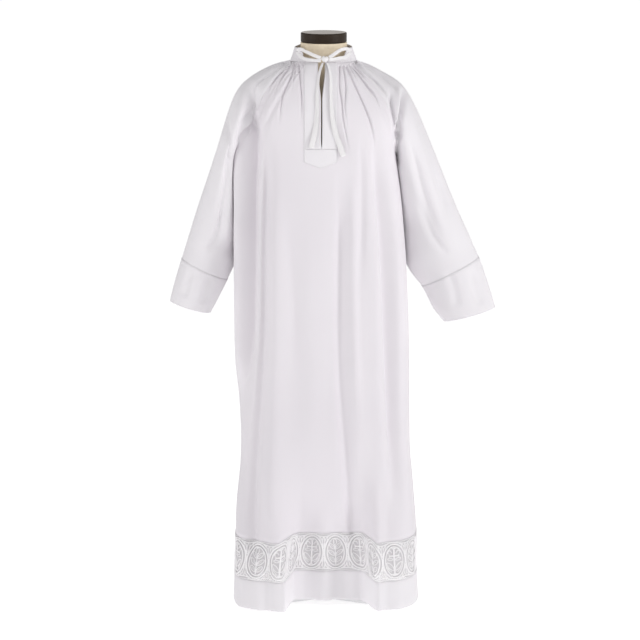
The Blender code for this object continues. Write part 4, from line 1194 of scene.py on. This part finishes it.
def cross_motif():
    strokes = [stem(0.0034, 0.0014, (0.0, 0.036), (0.0, -0.037), steps=18),
               stem(0.003, 0.0014, (-0.0135, 0.015), (0.0135, 0.015), steps=9),
               stem(0.0024, 0.0012, (-0.0055, 0.0355), (0.0055, 0.0355), steps=5),
               stem(0.0024, 0.0012, (-0.0065, -0.0365), (0.0065, -0.0365), steps=5)]
    for side in (-1, 1):
        strokes += [stem(0.0024, 0.0012, (side * 0.0135, 0.0195), (side * 0.0135, 0.0105),
                         steps=5),
                    petal(0.002, 0.0011, (side * 0.0025, -0.026), (side * 0.0215, -0.004),
                          0.0055),
                    petal(0.0018, 0.001, (side * 0.003, 0.004), (side * 0.019, 0.0065), 0.0032),
                    stem(0.002, 0.0011, (side * 0.005, 0.0225), (side * 0.011, 0.03),
                         (side * 0.0175, 0.0255), (side * 0.015, 0.0205), steps=10),
                    stem(0.0018, 0.001, (side * 0.008, -0.031), (side * 0.015, -0.025),
                         (side * 0.02, -0.016), steps=10)]
    return strokes


def sprig_motif():
    strokes = [stem(0.0026, 0.0013, (0.0, -0.038), (0.0, 0.022), steps=16),
               petal(0.0022, 0.0012, (0.0, 0.02), (0.0, 0.038), 0.005)]
    for side in (-1, 1):
        for height, reach, rise in ((-0.03, 0.0175, 0.015), (-0.011, 0.0215, 0.016),
                                    (0.008, 0.018, 0.0165)):
            strokes += [petal(0.0021, 0.0011, (side * 0.0015, height),
                              (side * reach, height + rise), 0.0048),
                        stem(0.0013, 0.0009, (side * 0.003, height + 0.0025),
                             (side * reach * 0.72, height + rise * 0.72), steps=7)]
    return strokes


def spray_motif():
    """Spiky sprays that fill the corners between two ovals."""
    strokes = []
    for up in (-1, 1):
        strokes.append(petal(0.0018, 0.0011, (0.0, up * 0.014), (0.0, up * 0.047), 0.003))
        for side in (-1, 1):
            strokes += [petal(0.0016, 0.001, (side * 0.0015, up * 0.02),
                              (side * 0.0125, up * 0.048), 0.0024),
                        stem(0.0016, 0.001, (side * 0.0035, up * 0.0385),
                             (side * 0.0215, up * 0.05), steps=8)]
        strokes.append(stem(0.0015, 0.0009, (-0.0042, up * 0.0085), (0.0042, up * 0.0085),
                            steps=4))
    return strokes


def build_lace_cords():
    ovals, motifs, sprays = [], [], []
    flip = np.array((1.0, -1.0))
    for k in range(MOTIFS):
        place = np.array(((k + 0.5) * PITCH, LACE.height / 2))
        for wide, tall, width, steps in OVALS:
            ovals.append(cord_on(LACE, place + oval(wide, tall, steps) * flip, width,
                                 CORD_HEIGHT, True))
        corner = place + np.array((PITCH / 2, 0.0))
        for out, at, strokes in ((motifs, place, cross_motif() if k % 2 else sprig_motif()),
                                 (sprays, corner, spray_motif())):
            for path, closed, width, height in strokes:
                out.append(cord_on(LACE, at + path * flip, width * CORD_STOUT,
                                   height * CORD_RAISED, closed))
    u = np.linspace(0.0, LACE.length, MOTIFS * 24, endpoint=False)
    wave = 0.5 + 0.5 * np.cos(math.tau * (u / PITCH - 0.5))
    for v, width in ((0.0022 + 0.006 * (1.0 - wave), 0.003),
                     (LACE.height - 0.0022 - 0.006 * (1.0 - wave), 0.003),
                     (0.0008 + u * 0.0, 0.0018), (LACE.height - 0.0008 + u * 0.0, 0.0018)):
        sprays.append(cord_on(LACE, np.stack((u, v), axis=1), width, 0.0015, True))
    names = ("lace_ovals", "lace_figures", "lace_sprays")
    for name, parts in zip(names, (ovals, motifs, sprays)):
        piece(name, joined(parts, name), LACE_CORD, "alb_lace", "lace_band")
    return names


def build_hem():
    item = shell("robe_hem", RING[LACE_ROWS:], ALB_PAINTED_LIGHTER, "alb_cloth", "hem_band",
                 wall=HEM_WALL, closed=True)


# ---------------------------------------------------------------- neck
def neckline_z(angle):
    front = np.cos(np.radians(angle))
    rise = np.where(front > 0, NECKLINE_FRONT_Z, NECKLINE_BACK_Z)
    return NECKLINE_SIDE_Z + (rise - NECKLINE_SIDE_Z) * np.abs(front) ** 2


COLLAR_PROUD = 0.0012


def build_collar():
    start = math.degrees(math.asin((SLIT_X + BINDING_END) / NECKLINE_RADIUS))
    end = 360.0 + math.degrees(math.asin((SLIT_X - BINDING_END) / NECKLINE_RADIUS))
    angle = np.linspace(start, end, 341)[None, :]
    share = np.linspace(0.0, 1.0, 15)[:, None]
    away = np.minimum(angle, 360.0 - angle)
    rise = ease(away, OPEN_FROM_ANGLE, OPEN_TO_ANGLE)
    full = BINDING_HEIGHT + (COLLAR_HEIGHT - BINDING_HEIGHT) * rise
    height = full * (1.0 - share)
    lean = height / COLLAR_HEIGHT
    foot = NECKLINE_RADIUS + COLLAR_PROUD
    radius = foot + (COLLAR_TOP_RADIUS - NECKLINE_RADIUS - COLLAR_PROUD) * lean
    arc = np.radians(away) * NECKLINE_RADIUS
    ribs = np.where(angle < 180.0, gather_sum(1, arc, 0.0), gather_sum(-1, arc, 0.0))
    follow = NECK_GATHER + 0.3 * ease(lean, 0.0, 0.3)
    radius = radius + ribs * faced_share(arc) * follow * (1.0 - 0.8 * ease(lean, 0.5, 0.98))
    radius = radius + 0.0007 * np.sin(np.radians(angle * 7.0)) * lean
    z = neckline_z(angle) + 0.0003 + height
    turn = np.radians(angle)
    grid = stack(radius * np.sin(turn), -radius * np.cos(turn), z)
    item = shell("robe_collar", grid, ALB_PAINTED_LIGHTER, "alb_cloth", "collar_band",
                 wall=DOUBLE_WALL)
    return grid


build_front()
build_back()
CUFFS = [build_sleeve(side) for side in (1, -1)]
LACE_GROUND = build_net()
LACE_NAMES = build_lace_cords()
build_hem()
COLLAR_GRID = build_collar()


# ---------------------------------------------------------------- lying on the front
def front_tree():
    grids = (FRONT_LEFT, FRONT_RIGHT)
    verts = np.concatenate([grid.reshape(-1, 3) for grid in grids])
    faces = [grid_quads(*grid.shape[:2]) for grid in grids]
    faces[1] += grids[0].shape[0] * grids[0].shape[1]
    return BVHTree.FromPolygons(verts.tolist(), np.concatenate(faces).tolist())


FRONT_TREE = front_tree()
# Where to look for the surface in turn, as steps aside and down, near an open edge.
LOOKS = ((0.0, 0.0), (0.0, 0.002), (0.003, 0.0), (-0.003, 0.0),
         (0.006, 0.002), (-0.006, 0.002), (0.006, 0.005), (-0.006, 0.005))


def front_depth(x, z, tree=FRONT_TREE):
    """Depth of the front's surface at arrays of x and z, looking along +Y."""
    x, z = np.broadcast_arrays(np.asarray(x, float), np.asarray(z, float))
    out = np.empty(x.shape)
    for place in np.ndindex(x.shape):
        for aside, lower in LOOKS:
            hit = tree.ray_cast(Vector((x[place] + aside, -0.6, z[place] - lower)),
                                Vector((0.0, 1.0, 0.0)))
            if hit[0] is not None and hit[0].y < -0.05:
                break
        out[place] = hit[0].y
    return out


PLACKET_GAP = 0.0004


def build_placket():
    outlines = []
    z = np.linspace(NECKLINE_FRONT_Z, SLIT_BOTTOM_Z + PLACKET_GAP, 90)[:, None]
    for name, edge, side in (("left", PLACKET_RIGHT_X, 1), ("right", PLACKET_LEFT_X, -1)):
        inner = SLIT_X + side * (slit_half_width(z) + PLACKET_GAP)
        share = np.linspace(0.0, 1.0, 17)[None, :]
        x = inner + (edge - inner) * share
        top = neckline_z(np.degrees(np.arcsin(x / NECKLINE_RADIUS))) - 0.0012
        z_here = np.minimum(z, top)
        y = front_depth(x, z_here) - PLACKET_GAP - PLACKET_WALL
        grid = stack(x, y, z_here)
        item = shell("robe_placket_" + name, grid if side > 0 else grid[:, ::-1], ALB_PAINTED_LIGHTER,
                     "alb_cloth", "placket_" + name, wall=PLACKET_WALL)
        outlines.append(grid[3:, -2])
    x = np.linspace(PLACKET_LEFT_X, PLACKET_RIGHT_X, 41)[None, :]
    half = np.where(x > SLIT_X, PLACKET_RIGHT_X - SLIT_X, SLIT_X - PLACKET_LEFT_X)
    low = PATCH_POINT_Z + (PATCH_SIDE_Z - PATCH_POINT_Z) * np.abs(x - SLIT_X) / half
    share = np.linspace(0.0, 1.0, 22)[:, None]
    z = SLIT_BOTTOM_Z + (low - SLIT_BOTTOM_Z) * share
    y = front_depth(x, z) - PLACKET_GAP - PLACKET_WALL
    patch = stack(x, y, z)
    item = shell("robe_placket_patch", patch, ALB_PAINTED_LIGHTER, "alb_cloth", "placket_patch",
                 wall=PLACKET_WALL)
    inner = patch[1:-1, 1:-1]
    outlines.append(np.concatenate((inner[:, 0], inner[-1, 1:], inner[::-1, -1][1:],
                                    inner[0, ::-1][1:])))
    return outlines


PLACKET_OUTLINES = build_placket()

# ---------------------------------------------------------------- stitches
STITCH_PITCH = 0.004
STITCH_LENGTH = 0.0027
STITCH_WIDTH = 0.0006
STITCH_RISE = 0.0003
STITCH_CLEAR = 0.0001


def stitch_row(points, normals):
    """Little raised stitches at an even pitch along a line of points, just clear of it."""
    points = points + normals * STITCH_CLEAR
    steps = np.linalg.norm(np.diff(points, axis=0), axis=1)
    run = np.concatenate(([0.0], np.cumsum(steps)))
    at = np.arange(STITCH_PITCH, run[-1] - STITCH_PITCH / 2, STITCH_PITCH)

    def placed(values):
        return np.stack([np.interp(at, run, values[:, k]) for k in range(3)], axis=1)

    centre, normal = placed(points), unit(placed(normals))
    ahead = np.stack([np.interp(at + 0.001, run, points[:, k]) for k in range(3)], axis=1)
    along = unit(ahead - centre)
    across = unit(np.cross(normal, along))
    half, side = along * STITCH_LENGTH / 2, across * STITCH_WIDTH / 2
    rise = normal * STITCH_RISE
    verts = np.stack((centre - half, centre - half * 0.6 + side, centre + half * 0.6 + side,
                      centre + half, centre + half * 0.6 - side, centre - half * 0.6 - side,
                      centre - half * 0.5 + rise, centre + half * 0.5 + rise), axis=1)
    base = np.arange(len(at))[:, None] * 8
    quads = np.array(((6, 5, 4, 7), (6, 7, 2, 1), (0, 1, 2, 3), (0, 3, 4, 5)))
    tris = np.array(((0, 6, 1), (0, 5, 6), (3, 2, 7), (3, 7, 4)))
    faces = [tuple(f) for f in (base[:, None] + quads[None]).reshape(-1, 4)]
    faces += [tuple(f) for f in (base[:, None] + tris[None]).reshape(-1, 3)]
    return verts.reshape(-1, 3), faces


def looped(line):
    return np.concatenate((line, line[:1]))


def build_stitches():
    rows = []
    for cuff in CUFFS:
        normals = grid_normals(cuff, closed=True)
        for row in (1, 3):
            rows.append(stitch_row(looped(cuff[row]), looped(normals[row])))
    u = np.linspace(0.0, HEM.length, 1200)
    for v in (0.003, 0.0075):
        rows.append(stitch_row(*HEM.at(u, v)))
    for outline in PLACKET_OUTLINES:
        rows.append(stitch_row(outline, np.broadcast_to((0.0, -1.0, 0.0), outline.shape)))
    collar_foot = COLLAR_GRID[-3]
    rows.append(stitch_row(collar_foot, unit(collar_foot * FLAT)))
    piece("robe_stitches", joined(rows, "robe_stitches"), STITCH, "alb_cloth")


build_stitches()

# ---------------------------------------------------------------- ties
LOOP_RIGHT_SIDE = ((-0.0075, 1.51, 0.013), (-0.024, 1.516, 0.014), (-0.046, 1.525, 0.014),
                   (-0.062, 1.531, 0.013), (-0.07, 1.523, 0.012), (-0.058, 1.509, 0.011),
                   (-0.034, 1.504, 0.011), (-0.0078, 1.503, 0.012))
LOOP_LEFT_SIDE = ((0.0135, 1.511, 0.013), (0.028, 1.52, 0.014), (0.044, 1.53, 0.014),
                  (0.06, 1.532, 0.013), (0.071, 1.523, 0.012), (0.058, 1.511, 0.011),
                  (0.038, 1.508, 0.011), (0.0138, 1.505, 0.012))
TAIL_RIGHT_SIDE = ((-0.003, 1.4965, 0.008), (-0.012, 1.47, 0.006), (-0.017, 1.43, 0.005),
                   (-0.018, 1.38, 0.005), (-0.022, 1.33, 0.005), (-0.033, 1.278, 0.006))
TAIL_LEFT_SIDE = ((0.009, 1.4965, 0.008), (0.017, 1.47, 0.006), (0.019, 1.42, 0.005),
                  (0.021, 1.37, 0.005), (0.03, 1.32, 0.005), (0.052, 1.256, 0.006))


def cad_front_tree():
    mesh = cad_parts["front_panel"].data
    return BVHTree.FromPolygons([v.co for v in mesh.vertices],
                                [tuple(p.vertices) for p in mesh.polygons])


CAD_TREE = cad_front_tree()


def tie_path(points, count):
    """A tape's path from its points (x, z, distance in front of the robe)."""
    path = []
    for x, z, clear in spline(points, count):
        if z > 1.5:
            y = -math.sqrt(NECKLINE_RADIUS ** 2 - min(abs(x), 0.08) ** 2)
        else:
            y = float(front_depth(x, min(z, 1.497), CAD_TREE))
        path.append((x, y - clear, z))
    return np.array(path)


TIE_POINTS = 61
TIE_BOW = 0.0005
TIE_END_SPREAD = 0.62    # how much wider the pressed free ends look


def build_tie(name, node, points, wide_way, twist, end):
    """A tape along its path, wide in one direction turned by the twist in degrees."""
    path = tie_path(points, TIE_POINTS)
    along = unit(np.gradient(path, axis=0))
    wide_way = np.array(wide_way, float)
    wide = unit(wide_way - along * (along @ wide_way)[:, None])
    out = unit(np.cross(along, wide))
    run = np.concatenate(([0.0], np.cumsum(np.linalg.norm(np.diff(path, axis=0), axis=1))))
    turn = np.radians(np.interp(run / run[-1], np.linspace(0.0, 1.0, len(twist)), twist))[:, None]
    across = wide * np.cos(turn) + out * np.sin(turn)
    facing = unit(np.cross(along, across))
    share = np.linspace(-1.0, 1.0, 7)
    bow = TIE_BOW * (1.0 - share ** 2)
    spread = TIE_END_SPREAD if end == "bare" else 0.0
    spread = 1.0 + spread * ease(run / run[-1], 0.35, 0.9)
    grid = (path[:, None] + across[:, None] * (share * TIE_WIDTH / 2)[None, :, None]
            * spread[:, None, None] + facing[:, None] * bow[None, :, None])
    item = shell(name, grid, TAPE, "tie_tape", node, wall=TIE_WALL, offset=0.0)


build_tie("tie_bow_loop_right", "tie_loop_right", LOOP_RIGHT_SIDE, (0, 0, 1),
          (20.0, 0.0, -20.0, 0.0, 20.0), "object")
build_tie("tie_bow_loop_left", "tie_loop_left", LOOP_LEFT_SIDE, (0, 0, 1),
          (-20.0, 0.0, 20.0, 0.0, -20.0), "object")
build_tie("tie_bow_tail_right", "tie_tail_right", TAIL_RIGHT_SIDE, (1, 0, 0),
          (50.0, 40.0, 10.0, 30.0, 20.0, -10.0), "bare")
build_tie("tie_bow_tail_left", "tie_tail_left", TAIL_LEFT_SIDE, (1, 0, 0),
          (-50.0, -40.0, -20.0, 0.0, 25.0, 0.0), "bare")


def build_knot():
    """The knot: tape wrapped once round the crossing, pinched in at its middle."""
    rings, sides = 33, 40
    polar = np.linspace(0.0, math.pi, rings)[:, None]
    around = np.linspace(0.0, math.tau, sides, endpoint=False)[None, :]
    x = np.sin(polar) * np.sin(around)
    y = -np.sin(polar) * np.cos(around)
    z = np.cos(polar) + 0.0 * around
    wrap = 0.1 * np.exp(-((x + 0.35 * z) / 0.3) ** 2)
    groove = -0.1 * (np.exp(-((x + 0.35 * z - 0.46) / 0.1) ** 2)
                      + np.exp(-((x + 0.35 * z + 0.46) / 0.1) ** 2))
    notch = -0.34 * np.exp(-((x - 0.05) / 0.26) ** 2) * ease(z, 0.3, 1.0)
    radius = 1.0 + wrap + groove + notch
    taper = 1.0 - 0.28 * ease(-z, 0.0, 1.0)
    points = stack(x * radius * 0.0102 * taper, y * radius * 0.0046, z * radius * 0.0084)
    points = points + np.array(KNOT_CENTRE)
    item = piece("tie_bow_knot", grid_mesh("tie_bow_knot", points, closed=True), TAPE, "tie_tape",
                 "tie_knot")
    work = bmesh.new()
    work.from_mesh(item.data)
    bmesh.ops.remove_doubles(work, verts=work.verts, dist=0.00001)
    bmesh.ops.recalc_face_normals(work, faces=work.faces)
    work.to_mesh(item.data)
    work.free()


build_knot()

# ---------------------------------------------------------------- the form and its stand
def wood_material():
    """Dark stained turned wood with fine rings, and a painted highlight that makes its flat top
    paler and greyer.
    """
    material, tree, shader = new_material("cap_wood_stain")
    coordinates = add_node(tree, "ShaderNodeTexCoord")
    stretch = add_node(tree, "ShaderNodeMapping", Scale=(1.0, 1.0, 7.0))
    link(tree, coordinates, "Object", stretch, "Vector")
    grain = noise(tree, stretch, "Vector", 30.0)
    side = ramp(tree, grain, (0.016, 0.009, 0.005), (0.036, 0.022, 0.012))
    # Painted highlight: faces that look up are mixed towards a pale grey, as the lit top of the
    # cap.
    split = add_node(tree, "ShaderNodeSeparateXYZ")
    link(tree, add_node(tree, "ShaderNodeNewGeometry"), "Normal", split, "Vector")
    top = add_node(tree, "ShaderNodeMapRange", From_Min=0.8, From_Max=0.97)
    link(tree, split, "Z", top, "Value")
    painted_highlight_mix = add_node(tree, "ShaderNodeMix", data_type="RGBA", B=(0.66, 0.62, 0.58, 1.0))
    link(tree, top, "Result", painted_highlight_mix, "Factor")
    link(tree, side, "Color", painted_highlight_mix, "A")
    link(tree, painted_highlight_mix, "Result", shader, "Base Color")
    bump(tree, grain, "Fac", shader, 0.15, 0.0006)
    set_inputs(shader, Roughness=0.5, Specular_IOR_Level=0.22)
    return material


def steel_material():
    """Plain steel with a faint uneven polish."""
    material, tree, shader = new_material("stand_steel_satin")
    polish = noise(tree, add_node(tree, "ShaderNodeTexCoord"), "Object", 40.0)
    rough = add_node(tree, "ShaderNodeMapRange", To_Min=0.28, To_Max=0.46)
    link(tree, polish, "Fac", rough, "Value")
    link(tree, rough, "Result", shader, "Roughness")
    set_inputs(shader, Base_Color=(0.8, 0.8, 0.81, 1.0), Metallic=0.85)
    return material


def linen_material():
    """Cream linen stretched over the form, with a visible even weave."""
    material, tree, shader = new_material("form_linen_cream")
    coordinates = add_node(tree, "ShaderNodeTexCoord")
    drift = noise(tree, coordinates, "Object", 9.0)
    tint = ramp(tree, drift, (0.82, 0.7, 0.52), (0.88, 0.765, 0.585))
    link(tree, tint, "Color", shader, "Base Color")
    bump(tree, noise(tree, coordinates, "Object", 700.0), "Fac", shader, 0.4, 0.0004)
    set_inputs(shader, Roughness=0.85)
    return material


def dress_form():
    linen, wood, steel = linen_material(), wood_material(), steel_material()
    for name, material in (("form_torso", linen), ("form_neck_cap", wood),
                           ("form_pole", steel), ("form_foot_cross", steel)):
        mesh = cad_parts[name].data
        mesh.materials.clear()
        mesh.materials.append(material)


dress_form()
